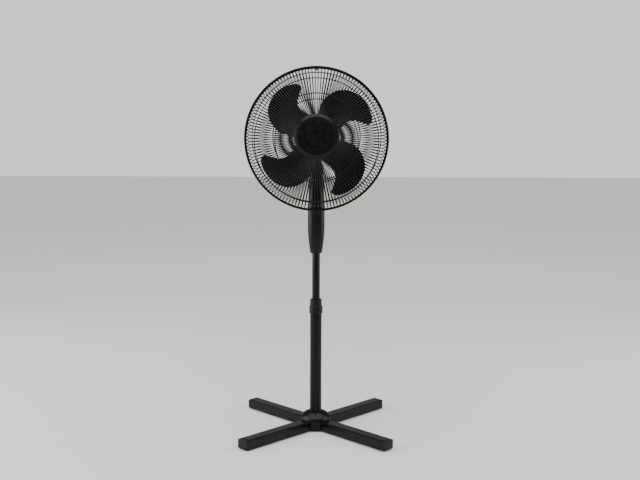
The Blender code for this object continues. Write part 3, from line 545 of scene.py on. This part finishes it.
# ---- pole: two tubes, the collar and the height nut
pole = {
    "lowerRadius": 0.01875, "lowerTop": 0.3992, "lowerWall": 0.0015,
    "upperRadius": 0.0125, "upperLow": 0.200, "upperHigh": 0.640, "upperWall": 0.0012,
    "collarLow": 0.3761, "collarStep": 0.4020, "collarRadius": 0.02145,
    "nutTop": 0.4233, "nutRadius": 0.01875, "nutLip": 0.0028,
    "bore": 0.0130, "spigot": 0.0155, "spigotRise": 0.0085, "gap": 0.0003,
    "markHalf": 0.0036, "markLow": 0.0010, "markHigh": 0.0082, "markDepth": 0.0011,
}


def makeTubes():
    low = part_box("lower_tube")[0].z
    for label, radius, wall, bottom, top in (
            ("lower", pole["lowerRadius"], pole["lowerWall"], low, pole["lowerTop"]),
            ("upper", pole["upperRadius"], pole["upperWall"], pole["upperLow"], pole["upperHigh"])):
        profile = softCorners([(radius - wall, bottom, 0), (radius, bottom, 0.0004), (radius, top, 0.0004),
                               (radius - wall, top, 0)])
        makePiece(label + "PoleTube", label + "_tube", lathe(profile, 96), "stovedEnamel")


def makeCollar():
    fit, out, edge = pole["lowerRadius"] + pole["gap"], pole["collarRadius"], 0.0010
    low, step, seat = pole["collarLow"], pole["collarStep"], pole["lowerTop"] + pole["gap"]
    top = step + pole["spigotRise"]
    profile = softCorners([
        (fit, low, 0.0003), (out - 0.0006, low, edge), (out, low + 0.0022, edge),
        (out, step - 0.0030, 0.0016), (out - 0.0016, step, 0.0008), (pole["spigot"], step, 0.0003),
        (pole["spigot"], top, 0.0003), (pole["bore"], top, 0), (pole["bore"], seat, 0),
        (fit, seat, 0)])
    makePiece("poleCollar", "collar", lathe(profile, 120), "mouldedAbs")


def makeHeightNut():
    """Nut with a rolled rim and a V-shaped mark let into its front."""
    low, high, out = pole["collarStep"] + pole["gap"], pole["nutTop"], pole["nutRadius"]
    lip, fit, ring = high - pole["nutLip"], pole["spigot"] + pole["gap"], out - 0.0006
    profile = softCorners([
        (fit, low, 0.0002), (out, low, 0.0006), (out, high - 0.0056, 0.0005), (ring, high - 0.0050, 0.0005),
        (ring, high - 0.0042, 0.0005), (out, high - 0.0036, 0.0005), (out, high, 0.0014),
        (pole["bore"], high, 0.0004), (pole["bore"], lip, 0), (fit, lip, 0)])
    half, point, broad = pole["markHalf"], low + pole["markLow"], low + pole["markHigh"]
    mark = [(-half, broad), (half, broad), (0.0, point)]
    wedge = loftPoints([[(x, y, z) for x, z in mark] for y in (-clear, pole["markDepth"] - out)])
    makePiece("heightNut", "height_lock_nut", lathe(profile, 120), "mouldedAbs", 32, [wedge])


makeTubes()
makeCollar()
makeHeightNut()
print("pole made")


# ---- neck: body with its rear cover, keys, gland, screws and the tilt yoke
neck = {
    # height and half width where the outline changes
    "outline": ((0.5732, 0.0190), (0.5930, 0.0219), (0.6140, 0.0245), (0.6350, 0.0261), (0.6556, 0.0267),
                (0.7091, 0.0263), (0.7600, 0.0246), (0.8300, 0.0208)),
    "low": 0.5710, "depth": 0.88, "squareness": 2.3, "wall": 0.0022, "throat": 0.0128,
    "windowLow": 0.606, "windowHigh": 0.806, "split": 0.006, "gap": 0.0003, "edge": 0.0006,
    "keyHeight": 0.698, "keyPitch": 0.0046, "keySize": (0.0040, 0.0130, 0.0120), "keyRear": -0.0133,
    "keyRoom": 0.0006, "pocketRear": -0.0145,
    "pivot": 0.840, "yoke": 0.0095, "cheeks": (0.0120, 0.0190), "pivotHole": 0.0033,
    "boltHead": 0.0055, "boltShank": 0.0030, "boltSlot": 0.0006,
    "gland": 0.628, "glandHole": 0.0066, "glandStart": 0.0165,
    "screws": (0.668, 0.792), "screwHole": 0.0038,
}


def neckWidth(height):
    heights, widths = zip(*neck["outline"])
    return smoothThrough(np.asarray(height, float), heights, widths)


def neckSkin(heights, angles, inset):
    """Super-ellipse section at each height; inset pulls the wall in."""
    wide = neckWidth(heights)[:, None]
    power = 2 / neck["squareness"]
    c, s = np.cos(angles), np.sin(angles)
    x = (wide - inset) * np.sign(c) * np.abs(c) ** power
    y = (wide * neck["depth"] - inset) * np.sign(s) * np.abs(s) ** power
    return np.stack([x, y, np.broadcast_to(heights[:, None], x.shape)], axis=-1)


def splitAngle(heights, split):
    """Angle at which the section's wall crosses the plane y = split."""
    deep = neckWidth(heights)[:, None] * neck["depth"]
    return np.arcsin((split / deep) ** (neck["squareness"] / 2))


def makeNeckBody():
    """Grid round the neck; the columns behind the split sink to a recess that holds the cover."""
    low, high, top = neck["windowLow"], neck["windowHigh"], neck["outline"][-1][0]
    rowsBelow, rowsWithin, rowsAbove = 10, 48, 8
    heights = np.concatenate([np.linspace(neck["outline"][0][0], low, rowsBelow), [low],
                              np.linspace(low, high, rowsWithin)[1:], [high],
                              np.linspace(high, top, rowsAbove)[1:]])
    sunk = np.zeros(len(heights))
    sunk[rowsBelow:rowsBelow + rowsWithin] = neck["wall"] + neck["edge"]
    start = splitAngle(heights, neck["split"])
    front = math.pi - start + np.linspace(0, 1, 72)[None, :] * (math.pi + 2 * start)
    back = start + np.linspace(0, 1, 48)[None, :] * (math.pi - 2 * start)
    skin = np.concatenate([neckSkin(heights, front, 0.0), neckSkin(heights, back, sunk[:, None])], axis=1)
    around = np.concatenate([front, back], axis=1)
    foot = []
    for drop, inset in ((0.0, 0.0012), (0.0004, 0.0006), (0.0012, 0.0002)):
        ring = neckSkin(heights[:1], around[:1], inset)[0]
        ring[:, 2] = neck["low"] + drop
        foot.append(ring)
    crown = neckSkin(heights[-1:], around[-1:], 0.0008)[0]
    crown[:, 2] = top + 0.0003
    rings = np.concatenate([np.array(foot), skin, crown[None]], axis=0)
    turns = np.linspace(0, math.pi, 25)
    y, z = neck["yoke"] * np.cos(turns), neck["pivot"] + neck["yoke"] * np.sin(turns)
    outline = [(-neck["yoke"], top - 0.006), (neck["yoke"], top - 0.006)] + list(zip(y, z))
    near, far = neck["cheeks"]
    cheeks, pivot = [], neck["pivot"]
    for side in (-1, 1):
        layers = []
        for across, inset in [(near, 0.0), (far - 0.0012, 0.0), (far - 0.0004, 0.0004), (far, 0.0012)]:
            shrink = 1 - inset / neck["yoke"]
            layers.append([(side * across, b * shrink, pivot + (h - pivot) * shrink) for b, h in outline])
        cheeks.append(loftPoints(layers))
    wide, tall, room = neck["keySize"][0], neck["keySize"][2], neck["keyRoom"]
    reach, half = 1.5 * neck["keyPitch"] + wide / 2 + room, tall / 2 + room
    pocket = boxShape((-reach, -clear, neck["keyHeight"] - half),
                      (reach, neck["pocketRear"], neck["keyHeight"] + half))
    body = rawObject("neckBody", loftPoints(rings))
    carve(body, [pocket, rod(neck["throat"], 0.55, 0.62, 64)])
    carve(body, cheeks, "UNION")
    carve(body, [rod(neck["pivotHole"], -clear, clear, 32, "x", (0, pivot))])
    standIn(body, "neck_body", "mouldedAbs", 30)


def makeNeckCover():
    """Closed patch of the neck's surface behind the split, with a softened border."""
    gap, edge = neck["gap"], neck["edge"]
    low, high = neck["windowLow"] + gap, neck["windowHigh"] - gap
    heights = np.concatenate([[low], np.linspace(low + edge, high - edge, 48), [high]])
    start = splitAngle(heights, neck["split"] + gap)
    share = np.concatenate([[0.0], np.linspace(0.012, 0.988, 46), [1.0]])
    angles = start + share[None, :] * (math.pi - 2 * start)
    drop = np.zeros((len(heights), len(share)))
    drop[[0, -1], :] = edge * 0.8
    drop[:, [0, -1]] = edge * 0.8
    outer = neckSkin(heights, angles, drop)
    inner = neckSkin(heights, angles, np.full_like(drop, neck["wall"]))
    rows, cols = outer.shape[:2]
    skin = gridFaces(rows, cols)
    count = rows * cols
    border = np.concatenate([np.arange(cols), np.arange(2 * cols - 1, count, cols),
                             np.arange(count - 2, count - cols - 1, -1),
                             np.arange(count - 2 * cols, 0, -cols)])
    after = np.roll(border, -1)
    rim = np.stack([border, after, after + count, border + count], axis=1)
    points = np.concatenate([outer.reshape(-1, 3), inner.reshape(-1, 3)])
    cuts = [rod(neck["glandHole"], 0.010, clear, 40, "y", (0, neck["gland"]))]
    for height in neck["screws"]:
        deep = float(neckWidth(height)) * neck["depth"]
        cuts.append(rod(neck["screwHole"], deep - 0.0014, clear, 32, "y", (0, height)))
    makePiece("neckBackCover", "neck_rear_cover", (points, np.concatenate([skin, skin + count, rim])),
              "mouldedAbs", 30, cuts)


screw = {
    "head": 0.0034, "edge": 0.0004, "shank": 0.0013, "tip": 0.001,
    "cross": (0.62, 0.14), "crossDeep": 0.0009,  # arm length and width as shares of the head's radius
    "neckTail": -0.0080, "neckSink": 0.0011, "neckRise": 0.0014,
    "housingTail": 0.0560, "housingSink": 0.0008, "housingRise": 0.0020,
}


def crossHead(at, deep):
    """Cross recess for a screw head that faces back."""
    x, z = at
    long, thin = (screw["head"] * share for share in screw["cross"])
    return [boxShape((x - u, deep - screw["crossDeep"], z - v), (x + u, deep + 0.003, z + v))
            for u, v in ((long, thin), (thin, long))]


def screwShape(at, tail, seat, rise):
    """Shank and a domed pan head."""
    head, edge, shank = screw["head"], screw["edge"], screw["shank"]
    turn = np.linspace(0, math.pi / 2, 8)
    dome = [(head * math.cos(a), seat + edge + (rise - edge) * math.sin(a)) for a in turn]
    return lathe([(0, tail), (shank, tail + screw["tip"]), (shank, seat), (head, seat)] + dome,
                 32, "y", at)


def makeNeckTrim():
    for label, height in zip(("lower", "upper"), neck["screws"]):
        seat = float(neckWidth(height)) * neck["depth"] - screw["neckSink"]
        makePiece("neckScrew" + label.title(), "neck_screw_" + label,
                  screwShape((0, height), screw["neckTail"], seat, screw["neckRise"]), "zincPlate", 30,
                  crossHead((0, height), seat + screw["neckRise"]))
    start, face = neck["glandStart"], float(neckWidth(neck["gland"])) * neck["depth"] + neck["gap"]
    profile = softCorners([
        (0.0036, start, 0), (0.0062, start, 0.0004), (0.0062, face, 0), (0.0088, face, 0.0004),
        (0.0084, face + 0.0022, 0.0012), (0.0052, face + 0.0036, 0.0010),
        (0.0036, face + 0.0036, 0.0008)])
    makePiece("cordGland", "cord_gland", lathe(profile, 56, "y", (0, neck["gland"])), "pressedRubber")
    wide, deep, tall = neck["keySize"]
    for number in range(4):
        across = (number - 1.5) * neck["keyPitch"]
        low = (across - wide / 2, neck["keyRear"] - deep, neck["keyHeight"] - tall / 2)
        high = (across + wide / 2, neck["keyRear"], neck["keyHeight"] + tall / 2)
        makePiece(f"speedKey{number}", f"speed_key_{number}", roundedBox(low, high, 0.0009),
                  "polishedAbs", 40)
    out, shank, half, pivot = neck["boltHead"], neck["boltShank"], neck["boltSlot"], neck["pivot"]
    seat = neck["cheeks"][1] + neck["gap"]
    face, end = -seat - 0.0031, seat + 0.0029
    bolt = softCorners([
        (0, face, 0), (out - 0.0004, face, 0.0008), (out, face + 0.0010, 0.0006),
        (out, -seat, 0.0003), (shank, -seat, 0), (shank, end, 0.0003), (0, end, 0)])
    slot = boxShape((face - 0.002, -0.0045, pivot - half), (face + 0.0008, 0.0045, pivot + half))
    makePiece("tiltBolt", "tilt_bolt", lathe(bolt, 40, "x", (0, pivot)), "zincPlate", 30,
              [slot])


makeNeckBody()
makeNeckCover()
makeNeckTrim()
print("neck made")


# ---- motor housing, knob and the small screws behind it
motor = {
    "radius": 0.0565, "front": -0.0597, "rear": 0.078, "wall": 0.002, "drumEnd": 0.030, "flat": 0.034,
    "shieldFace": -0.0702, "shieldNose": 0.0219, "noseEnd": -0.0840, "bore": 0.0086,
    "ventRows": ((1, 0.024), (2, 0.020), (3, 0.012)), "ventHalf": 0.0014,
    "knobAt": (0.0165, 0.019), "knobHole": 0.0036, "sleeveHole": 0.0185, "gap": 0.0003,
}


def shellCurve(inset):
    """From the end of the straight drum round a quarter ellipse to the flat back."""
    flat = motor["flat"] - inset
    turn = np.linspace(0, math.pi / 2, 16)
    return np.stack([flat + (motor["radius"] - inset - flat) * np.cos(turn),
                     motor["drumEnd"] + (motor["rear"] - inset - motor["drumEnd"]) * np.sin(turn)], axis=1)


def slotShape(halfLength, height, halfTall):
    """Round-ended slot through the back of the housing."""
    turn = np.linspace(-math.pi / 2, math.pi / 2, 9)
    right = [(halfLength - halfTall + halfTall * math.cos(a), height + halfTall * math.sin(a))
             for a in turn]
    left = [(-x, 2 * height - z) for x, z in right]
    return loftPoints([[(x, y, z) for x, z in right + left] for y in (0.070, 0.085)])


def makeMotorHousing():
    wall, rear, out, front = motor["wall"], motor["rear"], motor["radius"], motor["front"]
    groove = motor["drumEnd"] - 0.0040
    drum = [(out, front + 0.0004), (out, groove - 0.0007), (out - 0.0006, groove - 0.0003),
            (out - 0.0006, groove + 0.0003), (out, groove + 0.0007)]
    boss = [(0.0046, rear), (0.0038, rear - 0.0008), (0.0017, rear - 0.0008), (0.0017, rear - 0.0240),
            (0.0045, rear - 0.0240), (0.0045, rear - wall)]
    profile = np.concatenate([[(out - 0.0004, front)], drum, shellCurve(0), boss, shellCurve(wall)[::-1],
                              [(out - wall, front)]])
    cuts = [rod(motor["sleeveHole"], -0.080, -0.030, 64),
            rod(motor["knobHole"], 0.040, 0.080, 32, "z", motor["knobAt"])]
    for row, reach in motor["ventRows"]:
        for side in (-1, 1):
            cuts.append(slotShape(reach, side * (0.002 + 0.0068 * row), motor["ventHalf"]))
    makePiece("motorBackShell", "motor_rear_cover", onHead(lathe(profile, 128, "y")), "mouldedAbs", 30,
              [onHead(cut) for cut in cuts])

    face, back, seam = motor["shieldFace"], motor["shieldFace"] + 0.0027, front - motor["gap"]
    bore, nose, end = motor["bore"], motor["shieldNose"], motor["noseEnd"]
    profile = softCorners([
        (bore, end, 0.0003), (nose, end, 0.0008), (nose, face, 0.0006), (0.0400, face, 0.0008),
        (0.0412, face + 0.0008, 0.0008), (0.0424, face, 0.0008), (out, face, 0.0022), (out, seam, 0.0004),
        (out - wall, seam, 0), (out - wall, back, 0), (bore, back, 0)])
    makePiece("motorFrontShield", "motor_front_shield", onHead(lathe(profile, 128, "y")), "mouldedAbs", 30)

    seat = rear + motor["gap"] - screw["housingSink"]
    shape = screwShape((0, 0), screw["housingTail"], seat, screw["housingRise"])
    makePiece("housingScrew", "cover_screw", onHead(shape), "zincPlate", 30,
              [onHead(cut) for cut in crossHead((0, 0), seat + screw["housingRise"])])

    stem = [(0, 0.0125, 0), (0.0030, 0.0125, 0.0003), (0.0030, 0.0584, 0.0002), (0, 0.0584, 0)]
    cap = [(0, 0.0580, 0), (0.0082, 0.0580, 0.0006), (0.0092, 0.0592, 0.0008), (0.0078, 0.0695, 0.0020),
           (0.0092, 0.0728, 0.0016), (0.0086, 0.0755, 0.0014), (0.0040, 0.0764, 0.0010), (0, 0.0764, 0)]
    plain = lathe(softCorners(stem), 32, "z", motor["knobAt"])
    grip = lathe(softCorners(cap), 96, "z", motor["knobAt"], flute=(16, 0.035))
    makePiece("swingKnob", "oscillation_knob", onHead(joinMeshes(plain, grip)), "polishedAbs", 40)


makeMotorHousing()
print("motor housing made")


# ---- guard: two wire grilles, the rim band, clips, ring nut and the centre cap
guard = {
    "wires": 132, "wireRadius": 0.00145, "hoopRadius": 0.0015, "rimWire": 0.0016,
    "rimAt": -0.1343, "rimRadius": 0.217, "lip": 0.2096,
    "hoops": (0.1276, 0.1897),
    # radius and distance from the rim plane along one radial wire
    "profile": ((0.0560, 0.0630), (0.0800, 0.0627), (0.1050, 0.0618), (0.1276, 0.0602), (0.1450, 0.0586),
                (0.1600, 0.0565), (0.1750, 0.0533), (0.1897, 0.0478), (0.1975, 0.0420), (0.2025, 0.0320),
                (0.2052, 0.0200), (0.2070, 0.0090), (0.2098, 0.0034), (0.2132, 0.0026)),
    "plateRadius": 0.061, "plateDepth": 0.0627, "plateHalf": 0.0011,
    "rimHoop": (0.2128, 0.0026), "rearHole": 0.0233, "frontHole": 0.0400,
    "bandHalf": 0.0070, "bandWall": 0.0014,
}


def radialPath(side):
    """Smooth run of one wire: the stations joined by cubic pieces along their length."""
    stations = np.array(guard["profile"])
    length = np.concatenate([[0], np.cumsum(np.linalg.norm(np.diff(stations, axis=0), axis=1))])
    along = np.concatenate([np.linspace(0, length[7], 9), np.linspace(length[7], length[-1], 19)[1:]])
    return np.stack([smoothThrough(along, length, stations[:, 0]),
                     guard["rimAt"] + side * smoothThrough(along, length, stations[:, 1])], axis=1)


def makeGrille(name, node, side, hole):
    """Radial wires laid over two hoops, a rim hoop, and a pressed centre plate."""
    path = radialPath(side)
    parts = [wireFan(path, guard["wireRadius"], guard["wires"])]
    under = guard["wireRadius"] + guard["hoopRadius"] * 0.8
    for radius in guard["hoops"]:
        depth = np.interp(radius, path[:20, 0], path[:20, 1])
        parts.append(ringWire(radius, depth - side * under, guard["hoopRadius"]))
    radius, off = guard["rimHoop"]
    parts.append(ringWire(radius, guard["rimAt"] + side * off, guard["rimWire"]))
    plate, deep = guard["plateRadius"], guard["rimAt"] + side * guard["plateDepth"]
    front, back = deep + side * guard["plateHalf"], deep - side * guard["plateHalf"]
    outline = softCorners([
        (hole, back, 0.0003), (hole, front, 0.0003), (plate - 0.014, front, 0.001),
        (plate - 0.012, front - side * 0.0006, 0.001), (plate - 0.004, front - side * 0.0006, 0.001),
        (plate - 0.002, front, 0.0006), (plate, front, 0.0006), (plate, back, 0.0006)])
    parts.append(lathe(outline, 128, "y"))
    makePiece(name, node, onHead(joinMeshes(*parts)), "powderedWire", 40)


def makeRimBand():
    depth, wall, at = guard["bandHalf"], guard["bandWall"], guard["rimAt"]
    out, lip = guard["rimRadius"], guard["lip"]
    side = [(out - 0.0005, 0.0012, 0.0012), (out, depth, 0.0026), (lip, depth, 0.0006),
            (lip, depth - wall, 0.0004), (out - wall - 0.0014, depth - wall, 0.0008)]
    corners = [(out - 0.0014, at, 0.0010)] + [(r, at + off, soft) for r, off, soft in side]
    corners += [(r, at - off, soft) for r, off, soft in side[::-1]]
    makePiece("rimBand", "guard_ring", onHead(lathe(softCorners(corners), 256, "y")), "mouldedAbs", 40)
    low, high = lip - 0.0050, lip - 0.0006
    for label, half, bottom, top in (("top", 0.0030, low, high), ("bottom", 0.0040, -high, -low)):
        body = roundedBox((-half, at - depth, bottom), (half, at + depth, top), 0.0009)
        ribs = [roundedBox((-half * 0.6, at - depth - 0.0003 + k * 0.0030, bottom),
                           (half * 0.6, at - depth + 0.0009 + k * 0.0030, top), 0.0004, 3)
                for k in range(5)]
        makePiece(label + "Clip", label + "_clip", onHead(joinMeshes(body, *ribs)), "mouldedAbs", 40)


ringNut = {"low": -0.0850, "high": -0.0730, "bore": 0.0224, "radius": 0.0362, "lobe": 0.0014, "lobes": 9}


def makeRingNut():
    """Lobed ring nut that holds the rear grille on the motor's nose."""
    turn = np.linspace(0, math.tau, 144, endpoint=False)
    low, high, bore = ringNut["low"], ringNut["high"], ringNut["bore"]
    wave = ringNut["lobe"] * np.cos(ringNut["lobes"] * turn)
    steps = [(ringNut["radius"] - inset + wave, depth) for inset, depth in (
        (0.0004, low), (0.0, low + 0.0008), (0.0, high - 0.0008), (0.0006, high))]
    rings = np.array([np.stack([r * np.cos(turn), np.full_like(turn, depth), r * np.sin(turn)], axis=1)
                      for r, depth in steps + [(bore, high), (bore, low)]])
    makePiece("grilleRingNut", "grille_nut",
              onHead((rings.reshape(-1, 3), gridFaces(len(rings), len(turn), True, True))),
              "mouldedAbs", 30)


centreCap = {
    "radius": 0.0664, "face": 0.0552, "faceAt": -0.2045, "crown": 0.0016,
    "spigot": 0.0392, "spigotWall": 0.0022, "spigotLength": 0.0050,
}


def makeCentreCap():
    """Lightly crowned disc inside a bevelled ring, with a hollow spigot behind."""
    face, at, out = centreCap["face"], centreCap["faceAt"], centreCap["radius"]
    back = guard["rimAt"] - guard["plateDepth"] - 0.0014
    spigot, end = centreCap["spigot"], back + centreCap["spigotLength"]
    inside = spigot - centreCap["spigotWall"]
    r = np.linspace(0, 1, 14)
    crown = np.stack([r * (face - 0.0008), at - centreCap["crown"] * (1 - r ** 2) + 0.0002], axis=1)
    rest = softCorners([
        (face - 0.0008, at + 0.0002, 0), (face, at + 0.0010, 0.0003), (face + 0.0009, at + 0.0010, 0.0003),
        (face + 0.0016, at - 0.0001, 0.0007), (out - 0.0012, at + 0.0036, 0.0014),
        (out, at + 0.0052, 0.0010), (out, back, 0.0004), (spigot, back, 0), (spigot, end, 0.0004),
        (inside, end, 0.0004), (inside, back - 0.0012, 0), (0, back - 0.0012, 0)])
    profile = np.concatenate([crown, rest[1:]])
    makePiece("centreCapDisc", "front_cap", onHead(lathe(profile, 192, "y")),
              "mouldedAbs", 24)


makeGrille("rearWireGuard", "rear_grille", 1, guard["rearHole"])
makeGrille("frontWireGuard", "front_grille", -1, guard["frontHole"])
makeRimBand()
makeRingNut()
makeCentreCap()
print("guard made")


# ---- propeller
blades = {
    "count": 4, "first": 16, "middle": -0.122, "thick": 0.0020,
    # radius, angle of the hooked leading edge and angle of the rounded trailing edge
    "outline": ((0.0288, -8, 72), (0.0500, -1, 72), (0.0725, 6, 70), (0.0925, 12, 67), (0.1113, 13, 65),
                (0.1274, 11, 60.5), (0.1362, 8, 58), (0.1480, 4.5, 53.5), (0.1568, 2, 50), (0.1627, 0, 47),
                (0.1701, 0.8, 43), (0.1775, 3, 36.5), (0.1819, 7, 31), (0.1846, 14, 23)),
    "hub": 0.030, "hubLow": -0.147, "hubHigh": -0.097, "hubWall": 0.0025, "boss": 0.009, "bore": 0.0043,
    "gap": 0.0003,
}


def bladeSkin(turnDegrees):
    """Grid along and round one blade: pitch falls with the angle, camber bows it, edges thin out."""
    outline = np.array(blades["outline"], float)
    steps = np.linspace(0, len(outline) - 1, 46)
    radii, lead, trail = (smoothThrough(steps, np.arange(len(outline)), outline[:, k])[:, None]
                          for k in range(3))
    across = (1 - np.cos(np.linspace(0, math.pi, 25)))[None, :] / 2
    angles = np.radians(lead * (1 - across) + trail * across)
    growth = np.clip((radii - outline[0, 0]) / (outline[-1, 0] - outline[0, 0]), 0, 1)
    pitch = 0.033 + 0.015 * growth
    centre = np.radians(35 - 11 * growth ** 3)
    camber = 0.006 * 4 * across * (1 - across) * (1 - growth ** 4)
    depth = blades["middle"] - pitch * (angles - centre) + camber
    edge = np.clip(1 - np.abs(2 * across - 1) ** 8, 0.22, 1) * np.clip((1 - growth) * 40, 0.35, 1)
    half = blades["thick"] / 2 * (1 - 0.35 * growth) * edge
    turned = angles + math.radians(turnDegrees)
    sides = [np.stack([radii * np.cos(turned), depth + side * half, radii * np.sin(turned)], axis=-1)
             for side in (-1, 1)]
    loops = np.concatenate([sides[0], sides[1][:, ::-1]], axis=1)
    rows, cols = loops.shape[:2]
    faces = [tuple(face) for face in gridFaces(rows, cols, False, True)]
    for first in (0, (rows - 1) * cols):
        last = first + cols - 1
        faces += [(first + i, first + i + 1, last - 1 - i, last - i) for i in range(cols // 2 - 1)]
    return loops.reshape(-1, 3), faces


def makePropeller():
    low, high, out, wall = blades["hubLow"], blades["hubHigh"], blades["hub"], blades["hubWall"]
    boss, bore = blades["boss"], blades["bore"]
    profile = softCorners([(bore, high - 0.004, 0), (boss, high - 0.004, 0.0005), (boss, low + wall, 0.001),
                           (out - wall, low + wall, 0.001), (out - wall, high, 0.0004), (out, high, 0.0004),
                           (out, low, 0.0045), (bore, low, 0)])
    spacing = 360 / blades["count"]
    parts = [bladeSkin(blades["first"] + spacing * number) for number in range(blades["count"])]
    makePiece("propellerBlades", "propeller", onHead(joinMeshes(lathe(profile, 96, "y"), *parts)),
              "mouldedPolypropylene", 40)
    front = low - blades["gap"]
    profile = softCorners([(0.0033, front, 0), (0.0155, front, 0.0008), (0.0155, front - 0.0057, 0.0016),
                           (0.0140, front - 0.0107, 0.0020), (0.0095, front - 0.0147, 0.0016),
                           (0.0033, front - 0.0159, 0)])
    makePiece("bladeNutCap", "blade_nut", onHead(lathe(profile, 96, "y", flute=(12, 0.02))),
              "mouldedAbs", 30)


makePropeller()
print("propeller made")


# ---- the CAD nodes that stay in view, each in its own finish
kept = {
    "zincPlate": ("tube_flange", "base_bolt", "tilt_nut", "motor_shaft", "crank_link"),
    "stackedLaminations": ("stator_core", "rotor_core"),
    "dieCastZinc": ("gearbox_case", "gearbox_lid", "motor_front_bell", "motor_rear_bell"),
    "paintedCasting": ("swivel_bracket",),
    "enamelledCopper": ("stator_winding",),
    "sinteredBronze": ("front_bearing", "rear_bearing"),
    "naturalNylon": ("guide_bush", "collet", "worm_wheel", "crank_gear"),
    "pressedPhenolic": ("switch_block", "run_capacitor"),
}
for finish, nodes in kept.items():
    for node in nodes:
        frame["nodes"][node].data.materials.clear()
        frame["nodes"][node].data.materials.append(materials[finish])
print("kept nodes finished")
